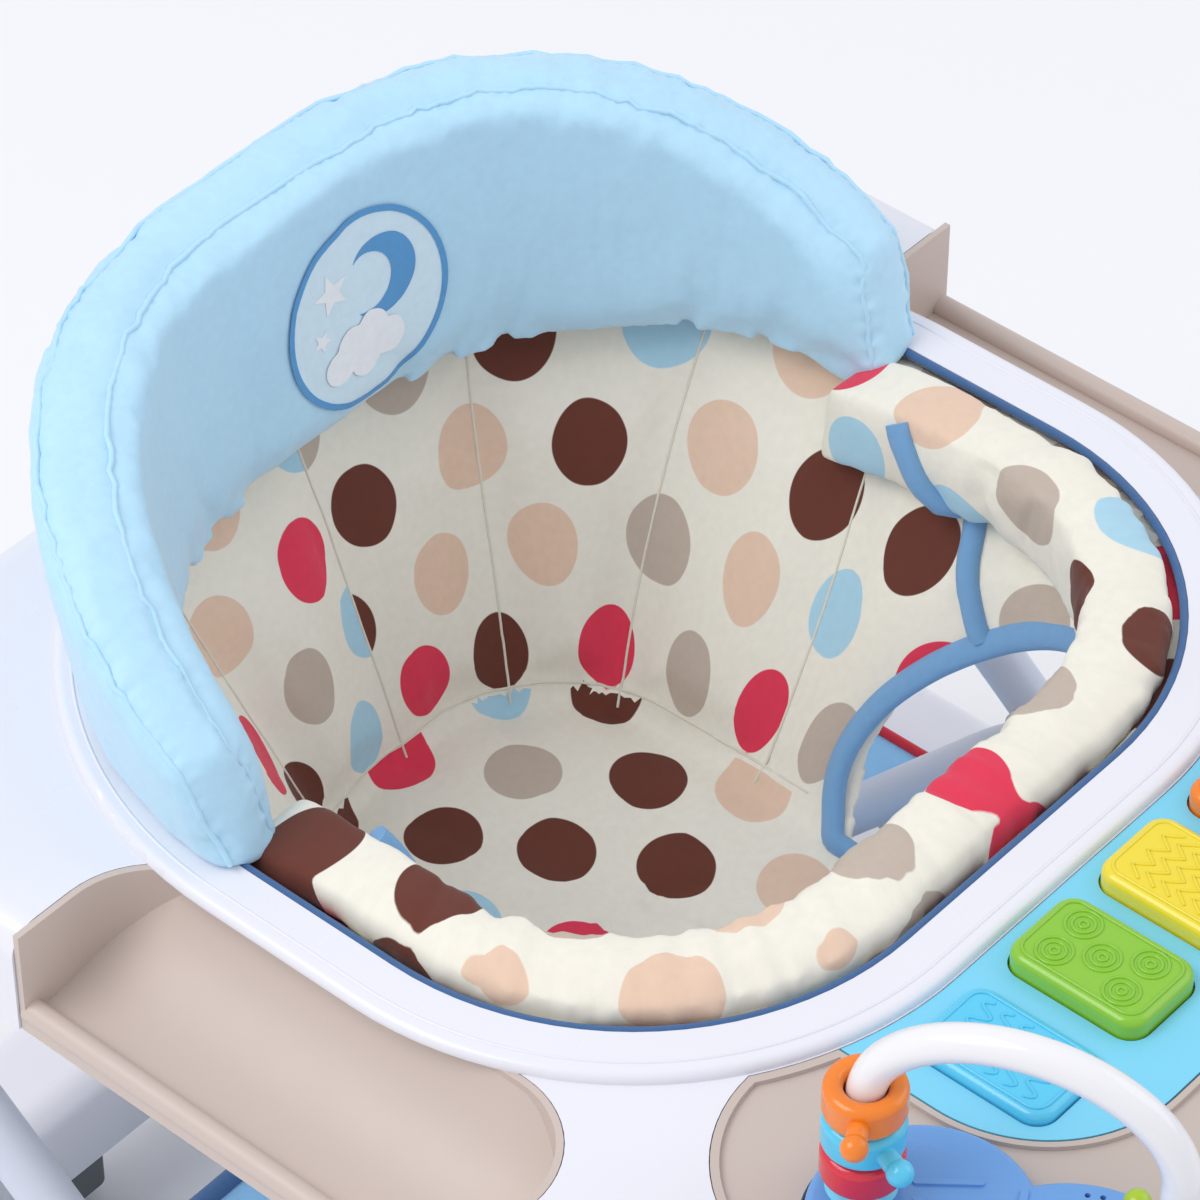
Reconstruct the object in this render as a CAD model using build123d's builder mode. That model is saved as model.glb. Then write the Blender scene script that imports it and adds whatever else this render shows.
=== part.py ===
from build123d import *
import math
import os

# Baby walker: a castored base ring, two crossed tube legs and a toy tray with a hung fabric seat.
# Millimetres. The floor is Z = 0, the child looks along -Y, and X = 0 is the middle plane.
# "ahead" is a distance in front of the seat centre, so it counts along -Y.

# ---------------------------------------------------------------- driving dimensions
base_width = 620        # outside of the base ring, across
base_length = 660       # outside of the base ring, front to back
base_corner = 150       # outside corner radius of the base ring
base_channel = 52       # width of the ring's inverted channel
base_height = 44        # height of the ring itself
base_wall = 3
wheel_diameter = 40
wheel_width = 16
fork_crown = 3          # thickness of a castor fork's crown
wheel_crown_gap = 4     # wheel to crown
castor_trail = 14
stem_diameter = 8

tray_z = 400            # height of the seat's rim above the floor
seat_y = 90             # seat centre, behind the middle of the base
tray_half_width = 252
tray_rear = 190         # seat centre to the tray's rear edge
tray_front = 405        # seat centre to the start of the bowed front edge
tray_bow = 10           # how far the middle of the front edge stands ahead of that
tray_depth = 46         # depth of the tray's skirt
tray_wall = 3
tray_edge_radius = 12
rim_band = 20           # raised band round the seat opening
rim_rise = 4

seat_half_width = 180   # the seat opening
seat_ahead = 185
seat_behind = 160
seat_front_radius = 122
seat_rear_radius = 155
seat_depth = 150
seat_cloth = 5
seat_bottom_half = 80
leg_hole_diameter = 112
roll_width = 38
roll_rise = 10

tube_diameter = 20
tube_wall = 1.5
upper_arm = 243         # cross pin to the tray pins
lower_arm = 162         # cross pin to the base pins
upper_angle = 38.7      # slope of the upper arms at rest
lower_angle = 49.0      # slope of the lower arms at rest
upper_angle_folded = 14.0
fold_travel = upper_angle - upper_angle_folded
raise_travel = 2.0
rear_leg_x = 217        # middle of the rear leg's side tubes
leg_space = 3           # between the crossing tubes, for a washer
front_leg_x = rear_leg_x + tube_diameter + leg_space
cross_ahead = 25        # cross pin, ahead of the seat centre
tray_pin_drop = 60      # tray pins below the seat's rim
leg_pin_diameter = 8
base_pin_diameter = 10
pin_head = 3
running_fit = 0.05      # radial clearance of a turning pin
sliding_fit = 0.4       # clearance of a roller or pin in its slot
body_gap = 0.4          # clearance between pieces that only pass each other

pad_end_ahead = 5       # where the pad's ends stand, ahead of the seat centre
pad_height_end = 50
pad_height_back = 137
pad_inset = 26          # how far the pad hangs over the opening
pad_outset = 10         # how far it stands outside the opening
pad_lean = 8
board_thickness = 4

scoop_front = 165
scoop_rear = 45
scoop_inner_x = 186
scoop_corner = 38
scoop_depth = 40
scoop_wall = 2.5
lip_diameter = 9

toy_half_width = 195
toy_rear = 182
toy_front = 392
toy_wall = 3
toy_recess = 2
panel_half_width = 108
panel_front = 292
panel_corner = 55
key_width = 38
key_length = 56
key_pitch = 50
key_ahead = 241
key_travel = 2.5
key_names = ["key_blue", "key_green", "key_yellow", "key_orange"]
key_rises = [4, 8, 8, 8]
arch_tube = 13
arch_foot_rear = (153, 242)     # sideways and ahead
arch_foot_front = (118, 340)
arch_leg = 42
arch_rise = 40
bead_diameter = 28

dish_ahead = 345
dish_diameter = 80

# ---------------------------------------------------------------- worked-out places
swivel_gap = 1          # crown to the underside of the ring
base_bottom = wheel_diameter + wheel_crown_gap + fork_crown + swivel_gap
base_top = base_bottom + base_height
cross_z = tray_z - tray_pin_drop - upper_arm * math.sin(math.radians(upper_angle))
base_pin_z = cross_z - lower_arm * math.sin(math.radians(lower_angle))
tray_pin_z = tray_z - tray_pin_drop
upper_reach = upper_arm * math.cos(math.radians(upper_angle))
lower_reach = lower_arm * math.cos(math.radians(lower_angle))
base_inner_x = base_width / 2 - base_channel
tray_under = tray_z - tray_depth
rim_z = tray_z + rim_rise
sides = (-1, 1)


def at(x, ahead):
    """A plan position from a sideways and an ahead distance."""
    return (x, seat_y - ahead)


def leg_reach(turn):
    """Seat centre to cross pin and to the front leg's lower pins when the legs have turned by an angle."""
    lower = math.radians(lower_angle - turn)
    cross = cross_ahead - lower_reach + lower_arm * math.cos(lower)
    return cross, cross + lower_arm * math.cos(lower)


def seat_outline(grow):
    """The seat opening: the hull of two front and two rear circles, grown all round."""
    front_x = seat_half_width - seat_front_radius
    rear_x = seat_half_width - seat_rear_radius
    with BuildSketch() as outline:
        with Locations(*[at(s * front_x, seat_ahead - seat_front_radius) for s in sides]):
            Circle(seat_front_radius + grow)
        with Locations(*[at(s * rear_x, seat_rear_radius - seat_behind) for s in sides]):
            Circle(seat_rear_radius + grow)
        make_hull()
    return outline.sketch


def tray_outline(grow):
    """The tray in plan: rounded rear corners, wider rounded front corners and a bowed front."""
    rear_r = 87
    front_r = 120
    bow_r = 220
    with BuildSketch() as outline:
        with Locations(*[at(s * (tray_half_width - rear_r), rear_r - tray_rear) for s in sides]):
            Circle(rear_r + grow)
        with Locations(*[at(s * (tray_half_width - front_r), tray_front - front_r) for s in sides]):
            Circle(front_r + grow)
        with Locations(at(0, tray_front + tray_bow - bow_r)):
            Circle(bow_r + grow)
        make_hull()
    return outline.sketch


def panel_outline(grow):
    """The key panel: rounded front corners, and a rear edge that follows the seat opening."""
    rear_r = 8
    with BuildSketch() as outline:
        with Locations(*[at(s * (panel_half_width - panel_corner), panel_front - panel_corner) for s in sides]):
            Circle(panel_corner + grow)
        with Locations(*[at(s * (panel_half_width - rear_r), toy_rear) for s in sides]):
            Circle(rear_r + grow)
        make_hull()
        add(seat_outline(rim_band + 1 - grow), mode=Mode.SUBTRACT)
    return outline.sketch


def toy_outline(grow):
    """The toy tray: a broad panel across the front, cut back round the seat and the key panel."""
    rear_r = 60
    front_r = 84
    with BuildSketch() as outline:
        with Locations(*[at(s * (toy_half_width - rear_r), toy_rear + rear_r) for s in sides]):
            Circle(rear_r + grow)
        with Locations(*[at(s * (toy_half_width - front_r), toy_front - front_r) for s in sides]):
            Circle(front_r + grow)
        make_hull()
        add(seat_outline(rim_band + 1 - grow), mode=Mode.SUBTRACT)
    return outline.sketch


def scoop_outline(side, grow):
    """One armrest scoop in plan, running out past the tray's side."""
    length = scoop_front + scoop_rear + 2 * grow
    width = 2 * (tray_half_width - scoop_inner_x + grow)
    with BuildSketch() as outline:
        with Locations(at(side * tray_half_width, (scoop_front - scoop_rear) / 2)):
            RectangleRounded(width, length, scoop_corner + grow)
    return outline.sketch


def leaf_outline(side, grow):
    """A two-lobed leaf: a small lobe towards the child and a larger one ahead of it."""
    with BuildSketch() as outline:
        with Locations(at(side * 149, 264)):
            Circle(38 + grow)
        with Locations(at(side * 142, 319)):
            Circle(44 + grow)
    return outline.sketch


def finish(piece, name):
    """Label a finished piece and write it as its own file."""
    piece.label = name
    export_step(piece, f"parts/{name}.step")


os.makedirs("parts", exist_ok=True)

# ================================================================ base
# ---------------------------------------------------------------- base ring
# An inverted channel moulded as one ring, with a pin boss and a slot on each side's inner wall.
slot_rear = leg_reach(-raise_travel)[1]
slot_front = leg_reach(fold_travel)[1]
slot_half_height = base_pin_diameter / 2 + sliding_fit
inner_corner = base_corner - base_channel
boss_radius = 11        # moulded bosses that carry the rear leg's pins
boss_from = rear_leg_x + tube_diameter / 2 + body_gap
boss_length = base_inner_x + base_wall - boss_from
with BuildPart() as base_ring:
    with BuildSketch(Plane.XY.offset(base_bottom)):
        RectangleRounded(base_width, base_length, base_corner)
        RectangleRounded(base_width - 2 * base_channel, base_length - 2 * base_channel,
                         inner_corner, mode=Mode.SUBTRACT)
    extrude(amount=base_height)
    fillet(base_ring.faces().sort_by(Axis.Z)[-1].edges(), radius=14)
    with BuildSketch(Plane.XY.offset(base_bottom)):
        RectangleRounded(base_width - 2 * base_wall, base_length - 2 * base_wall,
                         base_corner - base_wall)
        RectangleRounded(base_width - 2 * base_channel + 2 * base_wall,
                         base_length - 2 * base_channel + 2 * base_wall,
                         inner_corner + base_wall, mode=Mode.SUBTRACT)
    extrude(amount=base_height - 14, mode=Mode.SUBTRACT)
    with BuildSketch(Plane.XY.offset(base_top - 14)):
        RectangleRounded(base_width - 2 * 14, base_length - 2 * 14, base_corner - 14)
        RectangleRounded(base_width - 2 * base_channel + 2 * 14,
                         base_length - 2 * base_channel + 2 * 14,
                         inner_corner + 14, mode=Mode.SUBTRACT)
    extrude(amount=14 - base_wall, mode=Mode.SUBTRACT)
    boss_y = seat_y - cross_ahead + lower_reach
    with Locations(*[(s * (boss_from + boss_length / 2), boss_y, base_pin_z) for s in sides]):
        Cylinder(boss_radius, boss_length, rotation=(0, 90, 0))
        Cylinder(base_pin_diameter / 2 + running_fit, boss_length, rotation=(0, 90, 0), mode=Mode.SUBTRACT)
    slot_length = slot_front - slot_rear + 2 * slot_half_height
    with BuildSketch(Plane.YZ):
        with Locations((seat_y - (slot_front + slot_rear) / 2, base_pin_z)):
            SlotOverall(slot_length, 2 * slot_half_height)
    extrude(amount=base_inner_x + 6, both=True, mode=Mode.SUBTRACT)
finish(base_ring.part, "base_ring")

# ---------------------------------------------------------------- base underplate
# A flat ring that closes the channel and carries six sockets for the castor stems.
plate_gap = 0.3
plate_thick = 3
socket_height = 26
corner_run = (base_corner - base_channel / 2) * math.sqrt(0.5)
castor_x = base_width / 2 - base_corner + corner_run
castor_y = base_length / 2 - base_corner + corner_run
castor_places = [
    (-castor_x, -castor_y), (castor_x, -castor_y),
    (-(base_width - base_channel) / 2, 0), ((base_width - base_channel) / 2, 0),
    (-castor_x, castor_y), (castor_x, castor_y),
]
stem_height = socket_height - 4
with BuildPart() as base_underplate:
    with BuildSketch(Plane.XY.offset(base_bottom)):
        RectangleRounded(base_width - 2 * (base_wall + plate_gap), base_length - 2 * (base_wall + plate_gap),
                         base_corner - base_wall - plate_gap)
        RectangleRounded(base_width - 2 * (base_channel - base_wall - plate_gap),
                         base_length - 2 * (base_channel - base_wall - plate_gap),
                         inner_corner + base_wall + plate_gap, mode=Mode.SUBTRACT)
    extrude(amount=plate_thick)
    with Locations(*[(x, y, base_bottom + socket_height / 2) for x, y in castor_places]):
        Cylinder(stem_diameter / 2 + 5, socket_height)
        Cylinder(stem_diameter / 2 + running_fit, socket_height, mode=Mode.SUBTRACT)
finish(base_underplate.part, "base_underplate")

# ---------------------------------------------------------------- castors
# Six swivelling forks with a wheel each. The wheel has stub axles that snap into the fork.
cheek = 3
cheek_gap = 0.5
axle_diameter = 5
fork_width = wheel_width + 2 * (cheek + cheek_gap)
for number, (cx, cy) in enumerate(castor_places, start=1):
    crown_top = base_bottom - swivel_gap
    with BuildPart() as fork:
        with BuildSketch(Plane.XY.offset(crown_top - fork_crown)):
            with Locations((cx, cy + castor_trail / 2)):
                RectangleRounded(fork_width, 30 + castor_trail, 10)
        extrude(amount=fork_crown)
        for s in sides:
            with BuildSketch(Plane.YZ.offset(cx + s * (fork_width - cheek) / 2)):
                with Locations((cy + castor_trail, wheel_diameter / 2)):
                    Circle(9)
                with BuildLine():
                    Polyline((cy + castor_trail - 9, wheel_diameter / 2),
                             (cy - 8, crown_top - 1), (cy + castor_trail + 10, crown_top - 1),
                             (cy + castor_trail + 9, wheel_diameter / 2), close=True)
                make_face()
            extrude(amount=cheek / 2, both=True)
        with Locations((cx, cy, crown_top + swivel_gap / 4)):
            Cylinder(stem_diameter / 2 + 3, swivel_gap / 2)
        with Locations((cx, cy, crown_top + stem_height / 2)):
            Cylinder(stem_diameter / 2, stem_height)
        with Locations((cx, cy + castor_trail, wheel_diameter / 2)):
            Cylinder(axle_diameter / 2 + running_fit, fork_width + 2, rotation=(0, 90, 0), mode=Mode.SUBTRACT)
    finish(fork.part, f"castor_fork_{number}")
    with BuildPart() as wheel:
        with Locations((cx, cy + castor_trail, wheel_diameter / 2)):
            Cylinder(wheel_diameter / 2, wheel_width, rotation=(0, 90, 0))
        fillet(wheel.edges(), radius=4)
        with Locations((cx, cy + castor_trail, wheel_diameter / 2)):
            Cylinder(axle_diameter / 2, fork_width, rotation=(0, 90, 0))
    finish(wheel.part, f"castor_wheel_{number}")

# ---------------------------------------------------------------- brake pads
# Four rubber stops under the ring that bite when a wheel runs over a step.
stop_clear = 9
with BuildPart() as brake_pads:
    for y in (-(base_length - base_channel) / 2, (base_length - base_channel) / 2):
        with BuildSketch(Plane.XY.offset(stop_clear)):
            with Locations((-100, y), (100, y)):
                RectangleRounded(44, 22, 6)
        extrude(amount=base_bottom - stop_clear)
finish(brake_pads.part, "brake_pads")

# ---------------------------------------------------------------- foot mat
# A sewn cloth sheet across the base, its hem resting on the ring's top edge.
mat_thick = 2
mat_rear_ahead = -122
mat_z = base_top
mat_overlap = 12
mat_slot_gap = 6        # cloth to tube, all round, at the slots that the legs pass through
mat_front_ahead = seat_y + base_length / 2 - base_channel + mat_overlap


def mat_crossings(toward):
    """The stretch, ahead of the seat, in which a leg passes through the mat over its whole fold."""
    places = []
    for turn in (-raise_travel, fold_travel):
        slope = math.radians(lower_angle - turn)
        front_pin = leg_reach(turn)[1]
        rear_pin = cross_ahead - lower_reach
        pin = rear_pin if toward > 0 else front_pin
        run = (mat_z - base_pin_z) / math.tan(slope)
        half = tube_diameter / 2 / math.sin(slope)
        places += [pin + toward * run - half, pin + toward * run + half]
    return min(places) - mat_slot_gap, max(places) + mat_slot_gap


with BuildPart() as foot_mat:
    with BuildSketch(Plane.XY.offset(mat_z)):
        RectangleRounded(base_width - 2 * (base_channel - mat_overlap),
                         base_length - 2 * (base_channel - mat_overlap), inner_corner + mat_overlap)
        with Locations(at(0, mat_rear_ahead - 200)):
            Rectangle(base_width, 400, mode=Mode.SUBTRACT)
        for leg_x, toward in ((rear_leg_x, 1), (front_leg_x, -1)):
            first, last = mat_crossings(toward)
            with Locations(*[at(s * leg_x, (first + last) / 2) for s in sides]):
                RectangleRounded(tube_diameter + 2 * mat_slot_gap, last - first, 8, mode=Mode.SUBTRACT)
    extrude(amount=mat_thick)
finish(foot_mat.part, "foot_mat")

# ---------------------------------------------------------------- mat snaps
# Press studs that hold the mat to the ring.
snap_places = []
for s in sides:
    for ahead in (-100, 30, 160):
        snap_places.append(at(s * (base_inner_x + mat_overlap / 2 + 1), ahead))
    snap_places.append(at(s * 90, mat_front_ahead - mat_overlap / 2))
with BuildPart() as mat_snaps:
    with Locations(*[(x, y, mat_z + mat_thick + 1) for x, y in snap_places]):
        Cylinder(5, 2)
    fillet(mat_snaps.edges().group_by(Axis.Z)[-1], radius=0.8)
finish(mat_snaps.part, "mat_snaps")

# ================================================================ legs
# ---------------------------------------------------------------- leg tubes
# Each leg is one steel tube bent into a U. The side arms bow a little at the cross pin.
tube_end = 12           # tube beyond the centre of its lower pin
bow_radius = 240


def leg_tube(x, toward, top_radius):
    """A U tube: lower pins, cross pins, then the cross bar. toward is +1 when it runs up to the front."""
    slope = math.radians(lower_angle)
    end_reach = lower_reach + tube_end * math.cos(slope)
    end_z = base_pin_z - tube_end * math.sin(slope)
    low_y = seat_y - cross_ahead + toward * end_reach
    top_y = seat_y - cross_ahead - toward * upper_reach
    mid_y = seat_y - cross_ahead
    low_pin_y = seat_y - cross_ahead + toward * lower_reach
    points = [(x, low_y, end_z), (x, mid_y, cross_z), (x, top_y, tray_pin_z)]
    points += [(-px, py, pz) for px, py, pz in reversed(points)]
    with BuildPart() as tube:
        with BuildLine() as route:
            FilletPolyline(*points, radius=[bow_radius, top_radius, top_radius, bow_radius])
        with BuildSketch(Plane(origin=route.line @ 0, z_dir=route.line % 0)):
            Circle(tube_diameter / 2)
            Circle(tube_diameter / 2 - tube_wall, mode=Mode.SUBTRACT)
        sweep()
        with Locations(*[(s * x, mid_y, cross_z) for s in sides]):
            Cylinder(leg_pin_diameter / 2 + running_fit, tube_diameter + 4,
                     rotation=(0, 90, 0), mode=Mode.SUBTRACT)
        with Locations(*[(s * x, low_pin_y, base_pin_z) for s in sides]):
            Cylinder(base_pin_diameter / 2, tube_diameter + 4, rotation=(0, 90, 0), mode=Mode.SUBTRACT)
    return tube.part


finish(leg_tube(rear_leg_x, 1, 50), "rear_leg_tube")
finish(leg_tube(front_leg_x, -1, 70), "front_leg_tube")

# ---------------------------------------------------------------- cross pins
# Domed rivets that join the two legs, with a washer between the tubes.
washer_inner = rear_leg_x + tube_diameter / 2
washer_outer = front_leg_x - tube_diameter / 2
with BuildPart() as cross_pins:
    pin_from = rear_leg_x - tube_diameter / 2 - pin_head - body_gap
    pin_to = front_leg_x + tube_diameter / 2 + pin_head + body_gap
    with Locations(*[(s * (pin_from + pin_to) / 2, seat_y - cross_ahead, cross_z) for s in sides]):
        Cylinder(leg_pin_diameter / 2, pin_to - pin_from, rotation=(0, 90, 0))
    for place_x in (pin_from + pin_head / 2, pin_to - pin_head / 2):
        with Locations(*[(s * place_x, seat_y - cross_ahead, cross_z) for s in sides]):
            Cylinder(8, pin_head, rotation=(0, 90, 0))
finish(cross_pins.part, "cross_pins")
with BuildPart() as cross_washers:
    washer_x = (washer_inner + washer_outer) / 2
    washer_thick = washer_outer - washer_inner - 2 * body_gap
    with Locations(*[(s * washer_x, seat_y - cross_ahead, cross_z) for s in sides]):
        Cylinder(9, washer_thick, rotation=(0, 90, 0))
        Cylinder(leg_pin_diameter / 2 + running_fit, washer_thick, rotation=(0, 90, 0), mode=Mode.SUBTRACT)
finish(cross_washers.part, "cross_washers")

# ---------------------------------------------------------------- base pins
# The rear leg turns on two pins in the ring; the front leg's pins slide in the ring's slots.
base_pin_to = base_inner_x + base_wall + 4


def base_pins(leg_x, toward):
    """A pair of headed pins through the lower ends of one leg, into the ring's inner wall."""
    pin_y = seat_y - cross_ahead + toward * lower_reach
    pin_in = leg_x - tube_diameter / 2 - pin_head
    with BuildPart() as pins:
        with Locations(*[(s * (pin_in + base_pin_to) / 2, pin_y, base_pin_z) for s in sides]):
            Cylinder(base_pin_diameter / 2, base_pin_to - pin_in, rotation=(0, 90, 0))
        with Locations(*[(s * (pin_in + pin_head / 2), pin_y, base_pin_z) for s in sides]):
            Cylinder(8, pin_head, rotation=(0, 90, 0))
    return pins.part


finish(base_pins(rear_leg_x, 1), "rear_leg_pins")
finish(base_pins(front_leg_x, -1), "front_leg_pins")

# ---------------------------------------------------------------- slide rollers
# Nylon rollers on the rear leg's cross bar, which run in the slots of the tray rails.
rail_x = 150
roller_width = 12
roller_diameter = tube_diameter + 6
top_bar_ahead = cross_ahead + upper_reach
with BuildPart() as slide_rollers:
    with Locations(*[(s * rail_x, seat_y - top_bar_ahead, tray_pin_z) for s in sides]):
        Cylinder(roller_diameter / 2, roller_width, rotation=(0, 90, 0))
        Cylinder(tube_diameter / 2, roller_width, rotation=(0, 90, 0), mode=Mode.SUBTRACT)
finish(slide_rollers.part, "slide_rollers")

# ================================================================ tray
# ---------------------------------------------------------------- backrest tabs
# Where the backrest board's three tabs drop into the tray behind the seat.
tab_width = 36
tab_depth = 18
tab_turn = 50
board_offset = tray_wall + body_gap + board_thickness / 2
tab_z = rim_z - tab_depth / 2 + 3
tab_radius = seat_rear_radius + board_offset
tab_centre_x = seat_half_width - seat_rear_radius
tab_centre_y = seat_y + seat_behind - seat_rear_radius
board_tabs = [Location((0, seat_y + seat_behind + board_offset, tab_z))]
for s in sides:
    tab_x = s * (tab_centre_x + tab_radius * math.sin(math.radians(tab_turn)))
    tab_y = tab_centre_y + tab_radius * math.cos(math.radians(tab_turn))
    board_tabs.append(Location((tab_x, tab_y, tab_z), (0, 0, -s * tab_turn)))

# ---------------------------------------------------------------- tray shell
# The white moulded top: a rounded skirt, a raised band round the seat and cut-outs for the inserts.
collar_depth = 24
with BuildPart() as rim:
    with BuildSketch(Plane.XY.offset(tray_z - tray_wall)):
        add(seat_outline(rim_band))
    extrude(amount=rim_rise + tray_wall)
    fillet(rim.faces().sort_by(Axis.Z)[-1].edges(), radius=rim_rise - 0.5)
with BuildPart() as tray_shell:
    with BuildSketch(Plane.XY.offset(tray_under)):
        add(tray_outline(0))
    extrude(amount=tray_depth)
    fillet(tray_shell.faces().sort_by(Axis.Z)[-1].edges(), radius=tray_edge_radius)
    add(rim.part)
    with BuildSketch(Plane.XY.offset(tray_under)):
        add(tray_outline(-tray_wall))
    extrude(amount=tray_depth - tray_edge_radius, mode=Mode.SUBTRACT)
    with BuildSketch(Plane.XY.offset(tray_z - tray_edge_radius)):
        add(tray_outline(-tray_edge_radius))
    extrude(amount=tray_edge_radius - tray_wall, mode=Mode.SUBTRACT)
    with BuildSketch(Plane.XY.offset(tray_z - collar_depth)):
        add(seat_outline(tray_wall))
    extrude(amount=collar_depth)
    with BuildSketch(Plane.XY.offset(tray_under)):
        add(seat_outline(0))
    extrude(amount=tray_depth + rim_rise, mode=Mode.SUBTRACT)
    for s in sides:
        with BuildSketch(Plane.XY.offset(tray_under)):
            add(scoop_outline(s, body_gap))
        extrude(amount=tray_depth, mode=Mode.SUBTRACT)
    with BuildSketch(Plane.XY.offset(tray_under)):
        add(toy_outline(body_gap))
        add(panel_outline(body_gap))
    extrude(amount=tray_depth, mode=Mode.SUBTRACT)
    with Locations(*board_tabs):
        Box(tab_width + 2 * body_gap, board_thickness + 2 * body_gap, 2 * tab_depth, mode=Mode.SUBTRACT)
finish(tray_shell.part, "tray_shell")

# ---------------------------------------------------------------- tray underplate
# The white lower moulding that closes the tray and carries the leg hinges and rails.
under_thick = 3
under_top = tray_under + under_thick
screw_radius = 2
screw_head = 4
lever_ahead = 352
lever_drop = 58
lever_width = 56
lever_pin_radius = 3
lever_ear = 4
lever_y = seat_y - lever_ahead
lever_z = tray_z - lever_drop
flange_top = tray_z - toy_wall - body_gap
key_skirt = 9
dome_height = 5
board_thick = 1.6
board_top = flange_top - key_skirt - key_travel - body_gap - dome_height
battery_at = at(-80, 336)
battery_size = (44, 62)
tray_screw_places = [at(s * x, ahead) for s in sides for x, ahead in ((214, -100), (222, 200), (222, 320), (60, 380))]
with BuildPart() as tray_bottom:
    with BuildSketch(Plane.XY.offset(tray_under)):
        add(tray_outline(-tray_wall - body_gap))
        add(seat_outline(8), mode=Mode.SUBTRACT)
        for s in sides:
            add(scoop_outline(s, 4), mode=Mode.SUBTRACT)
        with Locations(battery_at):
            Rectangle(battery_size[0] + 2 * body_gap, battery_size[1] + 2 * body_gap, mode=Mode.SUBTRACT)
        with Locations(*tray_screw_places):
            Circle(screw_radius + running_fit, mode=Mode.SUBTRACT)
    extrude(amount=under_thick)
with BuildPart() as rear_underplate:
    add(tray_bottom.part)
    split(bisect_by=Plane.XZ.offset(-seat_y), keep=Keep.BOTTOM)
finish(rear_underplate.part, "rear_underplate")
post_height = board_top - board_thick - under_top
with BuildPart() as front_underplate:
    add(tray_bottom.part)
    split(bisect_by=Plane.XZ.offset(-seat_y), keep=Keep.TOP)
    posts = [at(x, key_ahead + a) for x in (-78, 0, 78) for a in (-12, 12)]
    with Locations(*[(x, y, under_top + post_height / 2) for x, y in posts]):
        Cylinder(4, post_height)
    ear_x = lever_width / 2 + body_gap + lever_ear / 2
    with Locations(*[(s * ear_x, lever_y, (tray_under + lever_z - 7) / 2) for s in sides]):
        Box(lever_ear, 16, tray_under - lever_z + 7)
    with Locations(*[(s * ear_x, lever_y, lever_z) for s in sides]):
        Cylinder(lever_pin_radius + running_fit, lever_ear, rotation=(0, 90, 0), mode=Mode.SUBTRACT)
finish(front_underplate.part, "front_underplate")


def screws(places, z, length):
    """Pan-head screws driven up from below: heads under the plate, shanks through it."""
    with BuildPart() as group:
        with Locations(*[(x, y, z - 1) for x, y in places]):
            Cylinder(screw_head, 2)
        with Locations(*[(x, y, z + length / 2) for x, y in places]):
            Cylinder(screw_radius, length)
    return group.part


finish(screws(tray_screw_places, tray_under, 12), "tray_screws")

# ---------------------------------------------------------------- battery box and door
# The sound unit's cells sit in a box above the underplate, closed from below by a door.
battery_height = 20
battery_wall = 2
with BuildPart() as battery_box:
    with BuildSketch(Plane.XY.offset(under_top)):
        with Locations(battery_at):
            Rectangle(battery_size[0] + 8, battery_size[1] + 8)
    extrude(amount=battery_height)
    with BuildSketch(Plane.XY.offset(under_top)):
        with Locations(battery_at):
            Rectangle(battery_size[0] + 8 - 2 * battery_wall, battery_size[1] + 8 - 2 * battery_wall)
    extrude(amount=battery_height - battery_wall, mode=Mode.SUBTRACT)
finish(battery_box.part, "battery_box")
with BuildPart() as battery_door:
    with BuildSketch(Plane.XY.offset(tray_under)):
        with Locations(battery_at):
            Rectangle(*battery_size)
    extrude(amount=2)
    with BuildSketch(Plane.XY.offset(tray_under)):
        with Locations((battery_at[0], battery_at[1] - battery_size[1] / 2 + 8)):
            SlotOverall(16, 5)
    extrude(amount=1, mode=Mode.SUBTRACT)
finish(battery_door.part, "battery_door")

# ---------------------------------------------------------------- hinge saddles
# Saddle blocks under the tray's rear that hold the front leg's cross bar.
saddle_x = 110
saddle_width = 24
saddle_half = 15
rear_bar_y = seat_y - cross_ahead + upper_reach
with BuildPart() as hinge_saddles:
    with Locations(*[(s * saddle_x, rear_bar_y, (tray_under + tray_pin_z - saddle_half) / 2) for s in sides]):
        Box(saddle_width, 2 * saddle_half, tray_under - tray_pin_z + saddle_half)
    fillet(hinge_saddles.edges().filter_by(Axis.X).group_by(Axis.Z)[0], radius=4)
    with Locations(*[(s * saddle_x, rear_bar_y, tray_pin_z) for s in sides]):
        Cylinder(tube_diameter / 2 + running_fit, saddle_width, rotation=(0, 90, 0), mode=Mode.SUBTRACT)
finish(hinge_saddles.part, "hinge_saddles")

# ---------------------------------------------------------------- slide rails
# Slotted plates under the tray's front, in which the rear leg's cross bar slides.
rail_wall = 6
rail_width = 14
slide_half = roller_diameter / 2 + sliding_fit
slide_start = cross_ahead - upper_reach     # the tray's rear pins, where the rollers' travel counts from
slide_from = slide_start + 2 * upper_arm * math.cos(math.radians(upper_angle + raise_travel)) - slide_half
slide_to = slide_start + 2 * upper_arm * math.cos(math.radians(upper_angle - fold_travel)) + slide_half
with BuildPart() as slide_rails:
    rail_y = seat_y - (slide_from + slide_to) / 2
    rail_low = tray_pin_z - slide_half - rail_wall
    for s in sides:
        with BuildSketch(Plane.YZ.offset(s * rail_x)):
            with Locations((rail_y, (tray_under + rail_low) / 2)):
                Rectangle(slide_to - slide_from + 2 * rail_wall, tray_under - rail_low)
            with Locations((rail_y, tray_pin_z)):
                SlotOverall(slide_to - slide_from, 2 * slide_half, mode=Mode.SUBTRACT)
        extrude(amount=rail_width / 2, both=True)
finish(slide_rails.part, "slide_rails")

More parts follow.
